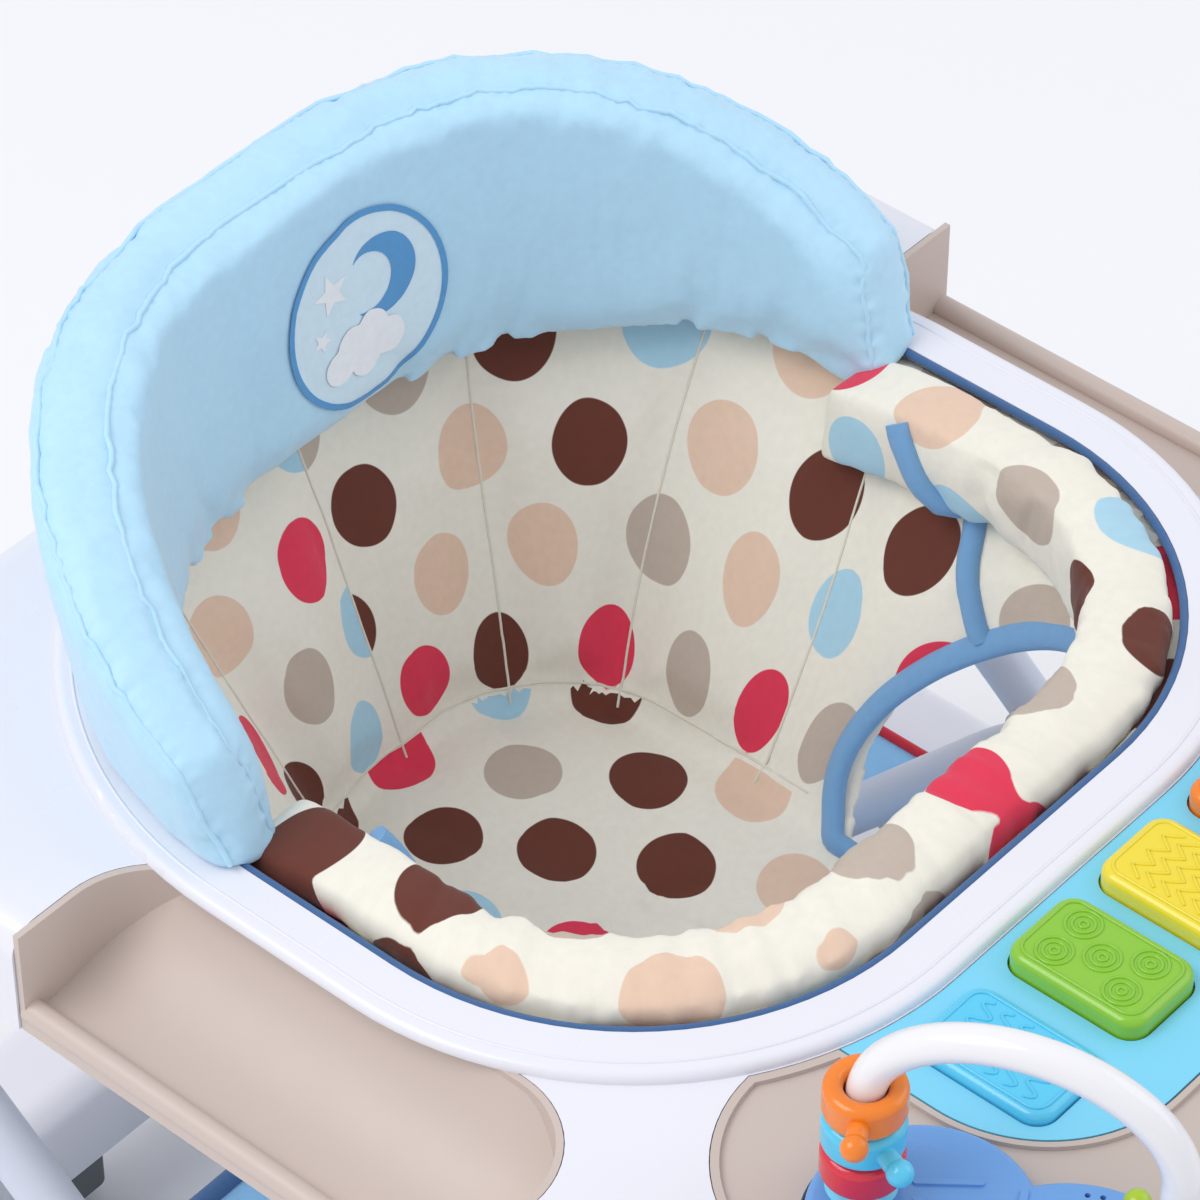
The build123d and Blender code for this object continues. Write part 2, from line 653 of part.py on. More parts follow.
# ---------------------------------------------------------------- fold lever
# A finger lever under the tray's front, on trunnions in the underplate's ears; its cam clamps the legs.
with BuildPart() as fold_lever:
    with BuildSketch(Plane.YZ):
        with Locations((lever_y, lever_z)):
            Circle(7)
        with Locations((lever_y - 22, lever_z - 1)):
            RectangleRounded(46, 8, 3.5)
    extrude(amount=lever_width / 2, both=True)
    with Locations((0, lever_y, lever_z)):
        Cylinder(lever_pin_radius, lever_width + 2 * lever_ear + 2 * body_gap, rotation=(0, 90, 0))
finish(fold_lever.part, "fold_lever")

# ---------------------------------------------------------------- armrest inserts
# Taupe scoops let into the tray's sides: a dished floor that runs down to a rolled lip.
lip_drop = scoop_depth - 2


def above_dish(side, lower):
    """Everything above the scoop's dished floor, with the floor moved down by a distance."""
    inner = scoop_inner_x + scoop_wall
    outer = tray_half_width + 1
    edge = tray_z - 3 - lower
    lip = tray_z - lip_drop - lower
    with BuildPart() as space:
        with BuildSketch(Plane.XZ):
            with BuildLine():
                ThreePointArc((side * inner, edge), (side * (inner + 24), tray_z - 0.78 * scoop_depth - lower),
                              (side * outer, lip))
                Polyline((side * outer, lip), (side * outer, tray_z + 5), (side * inner, tray_z + 5),
                         (side * inner, edge))
            make_face()
        extrude(amount=base_length / 2, both=True)
        if lower:
            with BuildSketch(Plane.XZ):
                with Locations((side * (inner - 10), tray_z)):
                    Rectangle(20, 2 * tray_depth + 20)
                with Locations((side * (outer + 10), tray_z)):
                    Rectangle(20, 2 * tray_depth + 20)
            extrude(amount=base_length / 2, both=True)
    return space.part


for s, name in zip(sides, ("armrest_insert_right", "armrest_insert_left")):
    with BuildPart() as dish:
        add(above_dish(s, 0))
        with BuildSketch(Plane.XY.offset(tray_under)):
            add(scoop_outline(s, -scoop_wall))
        extrude(amount=tray_depth + 5, mode=Mode.INTERSECT)
    with BuildPart() as underside:
        with BuildSketch(Plane.XY.offset(tray_under)):
            add(scoop_outline(s, -scoop_wall))
            add(tray_outline(-1 - scoop_wall), mode=Mode.INTERSECT)
        extrude(amount=tray_depth - 3 - scoop_wall)
        add(above_dish(s, scoop_wall), mode=Mode.SUBTRACT)
    with BuildPart() as insert:
        with BuildSketch(Plane.XY.offset(tray_under)):
            add(scoop_outline(s, 0))
            add(tray_outline(-1), mode=Mode.INTERSECT)
        extrude(amount=tray_depth)
        add(dish.part, mode=Mode.SUBTRACT)
        add(underside.part, mode=Mode.SUBTRACT)
        with Locations((s * (tray_half_width - lip_diameter / 2), seat_y - (scoop_front - scoop_rear) / 2,
                        tray_z - lip_drop)):
            Cylinder(lip_diameter / 2, scoop_front + scoop_rear - 2, rotation=(90, 0, 0))
    finish(insert.part, name)

# ---------------------------------------------------------------- toy tray
# The taupe front pan, with a lipped recess for each leaf toy and a hole for the snack dish.
pan_floor = tray_z - toy_recess
recess_depth = 8
recess_gap = 2
leaf_sink = recess_depth - body_gap
with BuildPart() as toy_tray:
    with BuildSketch(Plane.XY.offset(under_top)):
        add(toy_outline(0))
        add(panel_outline(2 * body_gap), mode=Mode.SUBTRACT)
    extrude(amount=tray_z - under_top)
    with BuildSketch(Plane.XY.offset(under_top)):
        add(toy_outline(-toy_wall))
        add(panel_outline(toy_wall + 2 * body_gap), mode=Mode.SUBTRACT)
    extrude(amount=pan_floor - toy_wall - under_top, mode=Mode.SUBTRACT)
    with BuildSketch(Plane.XY.offset(pan_floor)):
        add(toy_outline(-toy_wall))
        add(panel_outline(toy_wall), mode=Mode.SUBTRACT)
    extrude(amount=toy_recess, mode=Mode.SUBTRACT)
    for s in sides:
        with BuildSketch(Plane.XY.offset(pan_floor - recess_depth - toy_wall)):
            add(leaf_outline(s, recess_gap + toy_wall))
            add(toy_outline(-toy_wall), mode=Mode.INTERSECT)
            add(panel_outline(2 * body_gap), mode=Mode.SUBTRACT)
        extrude(amount=recess_depth + toy_wall)
    for s in sides:
        with BuildSketch(Plane.XY.offset(pan_floor - recess_depth)):
            add(leaf_outline(s, recess_gap))
        extrude(amount=recess_depth + 10, mode=Mode.SUBTRACT)
    with BuildSketch(Plane.XY.offset(under_top)):
        with Locations(at(0, dish_ahead)):
            Circle(dish_diameter / 2 - 6 + body_gap)
    extrude(amount=tray_depth, mode=Mode.SUBTRACT)
finish(toy_tray.part, "toy_tray")

# ---------------------------------------------------------------- snack dish
# A shallow round dish whose rim rests on the pan.
dish_depth = 18
dish_wall = 2
dish_xy = at(0, dish_ahead)
with BuildPart() as snack_dish:
    with BuildSketch(Plane.XZ):
        with BuildLine():
            Polyline((0, pan_floor - dish_depth), (dish_diameter / 2 - 14, pan_floor - dish_depth),
                     (dish_diameter / 2 - 6, pan_floor - dish_depth + 8), (dish_diameter / 2 - 6, pan_floor),
                     (dish_diameter / 2, pan_floor), (dish_diameter / 2, pan_floor + 3),
                     (dish_diameter / 2 - 8, pan_floor + 3), (dish_diameter / 2 - 8, pan_floor - dish_depth + 9),
                     (dish_diameter / 2 - 15, pan_floor - dish_depth + dish_wall),
                     (0, pan_floor - dish_depth + dish_wall), close=True)
        make_face()
    revolve(axis=Axis.Z)
snack_dish.part.position = (dish_xy[0], dish_xy[1], 0)
finish(snack_dish.part, "snack_dish")

# ---------------------------------------------------------------- key panel
# The light blue panel that the four sound keys come up through.
key_clear = 0.7
key_flange = 1.5
key_corner = 8
key_places = [at((i - 1.5) * key_pitch, key_ahead) for i in range(4)]
panel_top = tray_z
with BuildPart() as key_panel:
    with BuildSketch(Plane.XY.offset(under_top)):
        add(panel_outline(0))
    extrude(amount=panel_top - under_top)
    with BuildSketch(Plane.XY.offset(under_top)):
        add(panel_outline(-toy_wall))
    extrude(amount=panel_top - toy_wall - under_top, mode=Mode.SUBTRACT)
    with BuildSketch(Plane.XY.offset(panel_top - toy_wall)):
        with Locations(*key_places):
            RectangleRounded(key_width + 2 * key_clear, key_length + 2 * key_clear, key_corner + key_clear)
    extrude(amount=toy_wall, mode=Mode.SUBTRACT)
finish(key_panel.part, "key_panel")

# ---------------------------------------------------------------- keys
# Four domed keys; a flange under the panel keeps each one in and it springs back when let go.
for name, rise, (kx, ky) in zip(key_names, key_rises, key_places):
    with BuildPart() as key:
        with BuildSketch(Plane.XY.offset(flange_top - key_skirt)):
            with Locations((kx, ky)):
                RectangleRounded(key_width, key_length, key_corner)
        extrude(amount=panel_top + rise - flange_top + key_skirt)
        fillet(key.faces().sort_by(Axis.Z)[-1].edges(), radius=3.5)
        with BuildSketch(Plane.XY.offset(flange_top - 2)):
            with Locations((kx, ky)):
                RectangleRounded(key_width + 2 * key_flange, key_length + 2 * key_flange,
                                 key_corner + key_flange)
        extrude(amount=2)
        with BuildSketch(Plane.XY.offset(flange_top - key_skirt)):
            with Locations((kx, ky)):
                RectangleRounded(key_width - 5, key_length - 5, key_corner - 2.5)
        extrude(amount=key_skirt, mode=Mode.SUBTRACT)
        with Locations((kx, ky, flange_top - key_skirt / 2)):
            Cylinder(3, key_skirt)
    finish(key.part, name)

# ---------------------------------------------------------------- key board
# The circuit board under the keys, with a rubber dome below each key's stem.
with BuildPart() as key_board:
    with BuildSketch(Plane.XY.offset(board_top - board_thick)):
        with Locations(at(0, key_ahead)):
            Rectangle(3 * key_pitch + 20, 36)
    extrude(amount=board_thick)
finish(key_board.part, "key_board")
with BuildPart() as key_domes:
    with Locations(*[(x, y, board_top + dome_height / 2) for x, y in key_places]):
        Cone(6, 3.5, dome_height)
finish(key_domes.part, "key_domes")

# ---------------------------------------------------------------- leaf toys
# Two-lobed leaf covers with raised veins; the right-hand one has the sound unit's grille.
leaf_top = tray_z + 6
leaf_wall = 2.5
vein_width = 2.6
vein_rise = 0.9
leaf_base = pan_floor - leaf_sink


def vein(x0, ahead0, x1, ahead1):
    """One straight vein between two plan positions."""
    start = Vector(*at(x0, ahead0), 0)
    run = Vector(*at(x1, ahead1), 0) - start
    turn = math.degrees(math.atan2(run.Y, run.X))
    with Locations(Location(start + run * 0.5, (0, 0, turn))):
        SlotCenterToCenter(run.length, vein_width)


vein_lines = [(141, 255, 128, 271), (150, 300, 122, 284), (150, 300, 118, 316), (142, 320, 136, 350),
              (142, 320, 160, 346), (150, 280, 170, 268), (147, 260, 146, 330)]
for s, name in zip(sides, ("leaf_toy_right", "leaf_toy_left")):
    with BuildPart() as leaf:
        with BuildSketch(Plane.XY.offset(leaf_base)):
            add(leaf_outline(s, 0))
        extrude(amount=leaf_top - leaf_base)
        fillet(leaf.faces().sort_by(Axis.Z)[-1].edges(), radius=3)
        with BuildSketch(Plane.XY.offset(leaf_base)):
            add(leaf_outline(s, -leaf_wall))
        extrude(amount=leaf_top - leaf_wall - leaf_base, mode=Mode.SUBTRACT)
        with BuildSketch(Plane.XY.offset(leaf_top - 0.5)):
            for x0, a0, x1, a1 in vein_lines:
                vein(s * x0, a0, s * x1, a1)
        extrude(amount=vein_rise + 0.5)
        if s < 0:
            with BuildSketch(Plane.XY.offset(leaf_top - leaf_wall)):
                with Locations(at(-112, 304)):
                    with PolarLocations(5, 6):
                        Circle(1)
                    Circle(1)
            extrude(amount=leaf_wall + 2, mode=Mode.SUBTRACT)
    finish(leaf.part, name)

# ---------------------------------------------------------------- bead arches
# A white tube arch stands on each leaf in two collars, with turning beads threaded on it.
collar_height = 5
arch_z = leaf_top
bead_height = 14
bead_gap = 0.4
bead_bore = arch_tube / 2 + 0.6
peg_radius = 3.6
peg_length = 8
foot_run = Vector(arch_foot_front[0] - arch_foot_rear[0], arch_foot_rear[1] - arch_foot_front[1], 0)


def bead(x, ahead, z, peg_angle):
    """A doughnut bead round an upright tube; a peg with a ball end makes it easy to turn."""
    with BuildPart() as ring:
        with BuildSketch(Plane.XZ):
            with Locations((-(bead_diameter / 2 + bead_bore) / 2, 0)):
                RectangleRounded(bead_diameter / 2 - bead_bore, bead_height, 3.2)
        revolve(axis=Axis.Z)
        if peg_angle is not None:
            with Locations((bead_diameter / 2 + peg_length / 2 - 2, 0, 0)):
                Cylinder(peg_radius, peg_length + 4, rotation=(0, 90, 0))
            with Locations((bead_diameter / 2 + peg_length, 0, 0)):
                Sphere(peg_radius + 1)
    return Location((*at(x, ahead), z), (0, 0, peg_angle or 0)) * ring.part


for s, name in zip(sides, ("right", "left")):
    foot = at(s * arch_foot_rear[0], arch_foot_rear[1])
    run = Vector(s * foot_run.X, foot_run.Y, 0)
    arch_plane = Plane(origin=(*foot, arch_z), x_dir=run, z_dir=run.cross(Vector(0, 0, 1)))
    with BuildPart() as arch:
        with BuildLine(arch_plane) as hoop:
            Line((0, 0), (0, arch_leg))
            EllipticalCenterArc((run.length / 2, arch_leg), run.length / 2, arch_rise, start_angle=0, arc_size=180)
            Line((run.length, arch_leg), (run.length, 0))
        with BuildSketch(Plane(origin=(*foot, arch_z), z_dir=(0, 0, 1))):
            Circle(arch_tube / 2)
            Circle(arch_tube / 2 - 2, mode=Mode.SUBTRACT)
        sweep(path=hoop.line)
    finish(arch.part, f"bead_arch_{name}")
with BuildPart() as arch_collars:
    feet = [at(s * x, ahead) for s in sides for x, ahead in (arch_foot_rear, arch_foot_front)]
    with Locations(*[(x, y, arch_z + collar_height / 2) for x, y in feet]):
        Cone(12, 9, collar_height)
        Cylinder(arch_tube / 2, collar_height, mode=Mode.SUBTRACT)
finish(arch_collars.part, "arch_collars")

bead_step = bead_height + bead_gap
bead_z = arch_z + collar_height + bead_gap + bead_height / 2
rear_x, rear_ahead = arch_foot_rear
front_x, front_ahead = arch_foot_front
finish(bead(-rear_x, rear_ahead, bead_z, None), "bead_red")
finish(bead(-rear_x, rear_ahead, bead_z + bead_step, -110), "bead_sky")
finish(bead(-rear_x, rear_ahead, bead_z + 2 * bead_step, -150), "bead_orange")
finish(bead(-front_x, front_ahead, bead_z, 70), "bead_lime")
finish(bead(rear_x, rear_ahead, bead_z, -60), "bead_yellow")
finish(bead(front_x, front_ahead, bead_z, 120), "bead_blue")

# ================================================================ seat
# ---------------------------------------------------------------- hung seat
# The cloth bucket: it hangs from the collar and has a leg hole on each side of the crotch strip.


def seat_bucket(inset, lift):
    """The bucket's closed form, drawn in from the collar and raised off its lowest level."""
    with BuildPart() as bucket:
        with BuildSketch(Plane.XY.offset(tray_z - 1)):
            add(seat_outline(-body_gap - inset))
        with BuildSketch(Plane.XY.offset(tray_z - seat_depth + lift)):
            with Locations(*[at(s * (seat_bottom_half - 55), 30) for s in sides]):
                Circle(55 - inset)
            with Locations(*[at(s * (seat_bottom_half - 65), -40) for s in sides]):
                Circle(65 - inset)
            make_hull()
        loft(ruled=True)
    return bucket.part


bucket_outer = seat_bucket(0, 0)
bucket_inner = seat_bucket(seat_cloth, seat_cloth)
leg_turn = 47
leg_hole_drop = 92
with BuildPart() as seat:
    add(bucket_outer)
    add(bucket_inner, mode=Mode.SUBTRACT)
    for s in sides:
        aim = Vector(s * math.sin(math.radians(leg_turn)), -math.cos(math.radians(leg_turn)), 0)
        hole_from = Vector(*at(0, 20), tray_z - leg_hole_drop)
        with BuildSketch(Plane(origin=hole_from, x_dir=(-aim.Y, aim.X, 0), z_dir=aim)):
            Circle(leg_hole_diameter / 2)
        extrude(amount=seat_ahead + 60, mode=Mode.SUBTRACT)
finish(seat.part, "seat")

# ---------------------------------------------------------------- seat roll
# The padded roll round the front and sides of the opening, inside the cloth.
roll_drop = 24
with BuildSketch() as roll_plan:
    add(seat_outline(-seat_cloth - 2 * body_gap))
    add(seat_outline(-roll_width), mode=Mode.SUBTRACT)
    with Locations(at(0, pad_end_ahead + 2 - base_length / 2)):
        Rectangle(base_width, base_length, mode=Mode.SUBTRACT)
with BuildPart() as seat_roll:
    with BuildSketch(Plane.XY.offset(tray_z - roll_drop)):
        add(roll_plan.sketch)
    extrude(amount=roll_drop - 1)
    add(bucket_inner, mode=Mode.INTERSECT)
    with BuildSketch(Plane.XY.offset(tray_z - 1)):
        add(roll_plan.sketch)
    extrude(amount=1 + roll_rise)
finish(seat_roll.part, "seat_roll")

# ---------------------------------------------------------------- backrest board and pad
# A thin curved board plugs into the tray behind the seat; the boxed cloth pad slips over it.
board_drop = 12         # pad's top edge to the board's
board_end_ahead = pad_end_ahead - 19
pocket_gap = 1.4        # board to cloth, inside the pad's pocket


def backrest_side(drop, end_ahead):
    """The backrest seen from the side: low sloping ends that rise in a curve to a level back."""
    end_back = 18
    level_from = 165
    with BuildPart() as slab:
        with BuildSketch(Plane.YZ):
            with BuildLine():
                start = (seat_y - end_ahead + end_back, rim_z + pad_height_end - drop)
                level = (seat_y + level_from, rim_z + pad_height_back - drop)
                middle = ((start[0] + level[0]) / 2, (start[1] + level[1]) / 2 + 10)
                ThreePointArc(start, middle, level)
                Polyline(level, (seat_y + base_length / 2, level[1]), (seat_y + base_length / 2, rim_z),
                         (seat_y - end_ahead, rim_z), start)
            make_face()
        extrude(amount=base_width / 2, both=True)
    return slab.part


def leaning_form(grow):
    """A solid on an offset of the seat opening that spreads outwards as it rises."""
    spread = pad_height_back * math.tan(math.radians(pad_lean))
    with BuildPart() as form:
        with BuildSketch(Plane.XY.offset(rim_z)):
            add(seat_outline(grow))
        with BuildSketch(Plane.XY.offset(rim_z + pad_height_back)):
            add(seat_outline(grow + spread))
        loft(ruled=True)
    return form.part


with BuildPart() as backrest_board:
    with BuildSketch(Plane.XY.offset(rim_z)):
        add(seat_outline(board_offset + board_thickness / 2))
        add(seat_outline(board_offset - board_thickness / 2), mode=Mode.SUBTRACT)
    extrude(amount=pad_height_back)
    add(backrest_side(board_drop, board_end_ahead), mode=Mode.INTERSECT)
    with Locations(*board_tabs):
        Box(tab_width, board_thickness, tab_depth)
finish(backrest_board.part, "backrest_board")
with BuildPart() as board_pocket:
    with BuildSketch(Plane.XY.offset(rim_z)):
        add(seat_outline(board_offset + board_thickness / 2 + pocket_gap))
        add(seat_outline(board_offset - board_thickness / 2 - pocket_gap), mode=Mode.SUBTRACT)
    extrude(amount=pad_height_back)
    add(backrest_side(board_drop - pocket_gap, board_end_ahead + pocket_gap), mode=Mode.INTERSECT)
with BuildPart() as backrest_pad:
    add(leaning_form(pad_outset))
    add(leaning_form(-pad_inset), mode=Mode.SUBTRACT)
    add(backrest_side(0, pad_end_ahead), mode=Mode.INTERSECT)
    add(board_pocket.part, mode=Mode.SUBTRACT)
finish(backrest_pad.part, "backrest_pad")
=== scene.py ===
import math

import bmesh
import bpy
from mathutils import Matrix, Vector, noise
from mathutils.bvhtree import BVHTree
from mathutils.kdtree import KDTree


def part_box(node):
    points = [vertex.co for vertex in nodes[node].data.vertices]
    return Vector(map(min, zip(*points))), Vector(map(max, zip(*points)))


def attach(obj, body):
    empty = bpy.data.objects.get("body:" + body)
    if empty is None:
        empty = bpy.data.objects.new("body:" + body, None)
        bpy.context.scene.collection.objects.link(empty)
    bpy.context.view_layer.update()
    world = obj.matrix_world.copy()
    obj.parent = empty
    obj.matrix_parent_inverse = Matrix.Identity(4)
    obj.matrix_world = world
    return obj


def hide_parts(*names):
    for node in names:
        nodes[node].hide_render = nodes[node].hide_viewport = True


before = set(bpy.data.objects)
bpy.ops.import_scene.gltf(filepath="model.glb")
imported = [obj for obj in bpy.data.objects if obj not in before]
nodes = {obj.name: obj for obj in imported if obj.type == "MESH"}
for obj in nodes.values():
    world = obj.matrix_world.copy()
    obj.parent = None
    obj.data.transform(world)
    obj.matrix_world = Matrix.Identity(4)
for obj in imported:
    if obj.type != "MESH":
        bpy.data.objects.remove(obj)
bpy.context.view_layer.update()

# ---------------------------------------------------------------- camera
# A long lens looking down over the walker's front right corner, at the seat and the toy tray.
azimuth, elevation, distance = math.radians(-48.9), math.radians(43.0), 2.0
aim = Vector((0.003, 0.095, 0.400))
back = Vector((math.sin(azimuth) * math.cos(elevation), -math.cos(azimuth) * math.cos(elevation),
               math.sin(elevation)))
lens = bpy.data.cameras.new("camera")
lens.sensor_width = 36
lens.angle = math.radians(12.23)
lens.clip_end = 50
camera = bpy.data.objects.new("camera", lens)
camera.location = aim + back * distance
camera.rotation_euler = back.to_track_quat("Z", "Y").to_euler()
bpy.context.scene.collection.objects.link(camera)
bpy.context.scene.camera = camera

# ---------------------------------------------------------------- studio
# A pale floor under the castors, a large soft key light from the left, a fill and a dim sky.
floor_mesh = bpy.data.meshes.new("floor")
plan = bmesh.new()
bmesh.ops.create_grid(plan, x_segments=1, y_segments=1, size=6)
bmesh.ops.translate(plan, verts=plan.verts, vec=(0, 0, -0.0005))
plan.to_mesh(floor_mesh)
plan.free()
floor = bpy.data.objects.new("floor", floor_mesh)
bpy.context.scene.collection.objects.link(floor)


def new_material(name, colour, roughness, metallic=0.0):
    """A Principled material; returns the material, its node tree and the shader."""
    material = bpy.data.materials.new(name)
    material.use_nodes = True
    tree = material.node_tree
    shader = tree.nodes["Principled BSDF"]
    shader.inputs["Base Color"].default_value = (*colour, 1)
    shader.inputs["Roughness"].default_value = roughness
    shader.inputs["Metallic"].default_value = metallic
    return material, tree, shader


floor_paint, _, _ = new_material("floor_paint", (0.90, 0.90, 0.91), 0.9)
floor_mesh.materials.append(floor_paint)

sky = bpy.data.worlds.new("sky")
sky.use_nodes = True
sky.node_tree.nodes["Background"].inputs["Color"].default_value = (0.93, 0.95, 1.0, 1)
sky.node_tree.nodes["Background"].inputs["Strength"].default_value = 0.80
bpy.context.scene.world = sky
bpy.context.scene.view_settings.view_transform = "Standard"


def soft_light(name, place, size, power, colour):
    """A square area light that faces the seat."""
    lamp = bpy.data.lights.new(name, "AREA")
    lamp.size = size
    lamp.energy = power
    lamp.color = colour
    holder = bpy.data.objects.new(name, lamp)
    holder.location = place
    holder.rotation_euler = (Vector(place) - aim).to_track_quat("Z", "Y").to_euler()
    bpy.context.scene.collection.objects.link(holder)


soft_light("key_light", (-1.6, 0.9, 2.6), 1.7, 34, (1.0, 0.985, 0.96))
soft_light("fill_light", (1.9, -1.6, 1.9), 2.2, 15, (0.95, 0.97, 1.0))


# ---------------------------------------------------------------- moulded plastics
# Injection-moulded polypropylene: a fine satin grain, faint flow marks and softly rubbed sheen.
def mm(value):
    """Millimetres as metres."""
    return value / 1000


seat_back = 90     # the seat's centre lies this far behind the frame's middle, in millimetres


def at(x, ahead, z):
    """A point from millimetres sideways, ahead of the seat's centre and above the floor."""
    return Vector((mm(x), mm(seat_back - ahead), mm(z)))


def clamp(value):
    """A value held between 0 and 1."""
    return min(1.0, max(0.0, value))


def link(tree, source, output, target, socket):
    tree.links.new(source.outputs[output], target.inputs[socket])


def new_group(name, inputs, outputs):
    """An empty shader group with named sockets; returns the group, its input and its output nodes."""
    group = bpy.data.node_groups.new(name, "ShaderNodeTree")
    for socket_name, kind, value in inputs:
        socket = group.interface.new_socket(socket_name, in_out="INPUT", socket_type=kind)
        socket.default_value = value
    for socket_name, kind in outputs:
        group.interface.new_socket(socket_name, in_out="OUTPUT", socket_type=kind)
    return group, group.nodes.new("NodeGroupInput"), group.nodes.new("NodeGroupOutput")


def add_node(tree, kind, **settings):
    """A node with its properties set, and input sockets set by name where the name is one."""
    node = tree.nodes.new(kind)
    for key, value in settings.items():
        if key in node.inputs:
            node.inputs[key].default_value = value
        else:
            setattr(node, key, value)
    return node


mix_factor, mix_first, mix_second, mix_result = 0, 6, 7, 2     # a colour mix node's sockets


def mix_colours(tree, blend="MIX", factor=0.5, first=(1, 1, 1)):
    """A colour mix node, with its blend, factor and first colour set."""
    node = tree.nodes.new("ShaderNodeMix")
    node.data_type = "RGBA"
    node.blend_type = blend
    node.inputs[mix_factor].default_value = factor
    node.inputs[mix_first].default_value = (*first, 1)
    return node


def math_node(tree, operation, first=None, second=None, third=None):
    """A math node; numbers set a socket and (node, output) pairs are linked to it."""
    node = tree.nodes.new("ShaderNodeMath")
    node.operation = operation
    for index, value in enumerate((first, second, third)):
        if isinstance(value, tuple):
            tree.links.new(value[0].outputs[value[1]], node.inputs[index])
        elif value is not None:
            node.inputs[index].default_value = value
    return node


grain_group, group_in, group_out = new_group(
    "moulded_grain",
    [("Color", "NodeSocketColor", (1, 1, 1, 1)), ("Roughness", "NodeSocketFloat", 0.35),
     ("Grain", "NodeSocketFloat", 0.08), ("Mottle", "NodeSocketFloat", 0.05)],
    [("Color", "NodeSocketColor"), ("Roughness", "NodeSocketFloat"), ("Normal", "NodeSocketVector")])
place = add_node(grain_group, "ShaderNodeTexCoord")
flow = add_node(grain_group, "ShaderNodeTexNoise", Scale=9.0, Detail=3.0)
fine = add_node(grain_group, "ShaderNodeTexNoise", Scale=1500.0, Detail=2.0)
rub = add_node(grain_group, "ShaderNodeTexNoise", Scale=55.0, Detail=5.0)
for texture in (flow, fine, rub):
    link(grain_group, place, "Object", texture, "Vector")
swing = math_node(grain_group, "MULTIPLY_ADD", (flow, "Fac"), (group_in, "Mottle"), 1.0)
half = math_node(grain_group, "MULTIPLY", (group_in, "Mottle"), 0.5)
level = math_node(grain_group, "SUBTRACT", (swing, "Value"), (half, "Value"))
tint = mix_colours(grain_group, "MULTIPLY", 1.0)
link(grain_group, group_in, "Color", tint, mix_first)
link(grain_group, level, "Value", tint, mix_second)
link(grain_group, tint, mix_result, group_out, "Color")
gloss = math_node(grain_group, "MULTIPLY_ADD", (rub, "Fac"), 0.16, (group_in, "Roughness"))
gloss_level = math_node(grain_group, "SUBTRACT", (gloss, "Value"), 0.08)
link(grain_group, gloss_level, "Value", group_out, "Roughness")
relief = add_node(grain_group, "ShaderNodeBump", Distance=0.0002)
link(grain_group, fine, "Fac", relief, "Height")
link(grain_group, group_in, "Grain", relief, "Strength")
link(grain_group, relief, "Normal", group_out, "Normal")


def plastic(name, colour, roughness=0.34, grain=0.10, mottle=0.05, coat=0.0):
    """A moulded plastic with the shared grain."""
    material, tree, shader = new_material(name, colour, roughness)
    skin = tree.nodes.new("ShaderNodeGroup")
    skin.node_tree = grain_group
    skin.inputs["Color"].default_value = (*colour, 1)
    skin.inputs["Roughness"].default_value = roughness
    skin.inputs["Grain"].default_value = grain
    skin.inputs["Mottle"].default_value = mottle
    for socket in ("Roughness", "Normal"):
        link(tree, skin, socket, shader, socket)
    link(tree, skin, "Color", shader, "Base Color")
    shader.inputs["Coat Weight"].default_value = coat
    return material


def finish_node(name, material):
    """Give a CAD node's object its material."""
    node = nodes[name]
    if not node.material_slots:
        node.data.materials.append(material)
    for place_in_list in node.material_slots:
        place_in_list.material = material


white_plastic = plastic("white_polypropylene", (0.80, 0.80, 0.86), 0.30, 0.08, 0.03, 0.15)
for name in ("tray_shell", "base_ring", "base_underplate", "rear_underplate", "front_underplate",
             "hinge_saddles", "slide_rails", "battery_box", "battery_door", "backrest_board", "mat_snaps"):
    finish_node(name, white_plastic)
taupe_plastic = plastic("taupe_polypropylene", (0.60, 0.50, 0.45), 0.42, 0.14, 0.05)
for name in ("armrest_insert_left", "armrest_insert_right"):
    finish_node(name, taupe_plastic)
finish_node("toy_tray", plastic("pan_polypropylene", (0.57, 0.48, 0.43), 0.40, 0.14, 0.05))
finish_node("snack_dish", plastic("dish_polypropylene", (0.72, 0.66, 0.61), 0.36, 0.10, 0.04))
blue_plastic = plastic("leaf_blue_plastic", (0.150, 0.365, 0.765), 0.30, 0.10, 0.05, 0.2)
for name in ("leaf_toy_left", "leaf_toy_right", "fold_lever", "bead_blue"):
    finish_node(name, blue_plastic)
panel_plastic = plastic("panel_sky_plastic", (0.205, 0.655, 0.885), 0.32, 0.10, 0.04, 0.15)
for name in ("key_panel", "arch_collars"):
    finish_node(name, panel_plastic)
key_colours = {"key_blue": (0.095, 0.590, 0.860), "key_green": (0.255, 0.560, 0.030),
               "key_yellow": (0.870, 0.700, 0.035), "key_orange": (0.900, 0.225, 0.010)}
key_plastics = {name: plastic(name + "_plastic", colour, 0.26, 0.07, 0.04, 0.35)
                for name, colour in key_colours.items()}
for name, material in key_plastics.items():
    finish_node(name, material)
finish_node("bead_red", plastic("bead_red_plastic", (0.735, 0.018, 0.045), 0.22, 0.05, 0.03, 0.4))
finish_node("bead_sky", key_plastics["key_blue"])
finish_node("bead_orange", key_plastics["key_orange"])
finish_node("bead_yellow", key_plastics["key_yellow"])
finish_node("bead_lime", plastic("bead_lime_plastic", (0.420, 0.610, 0.020), 0.24, 0.05, 0.03, 0.4))
arch_plastic = plastic("arch_white_plastic", (0.86, 0.85, 0.87), 0.20, 0.04, 0.02, 0.4)
for name in ("bead_arch_left", "bead_arch_right"):
    finish_node(name, arch_plastic)
nylon = plastic("plain_nylon", (0.80, 0.79, 0.76), 0.42, 0.12, 0.04)
for name in ["cross_washers", "slide_rollers"] + [f"castor_fork_{i}" for i in range(1, 7)]:
    finish_node(name, nylon)
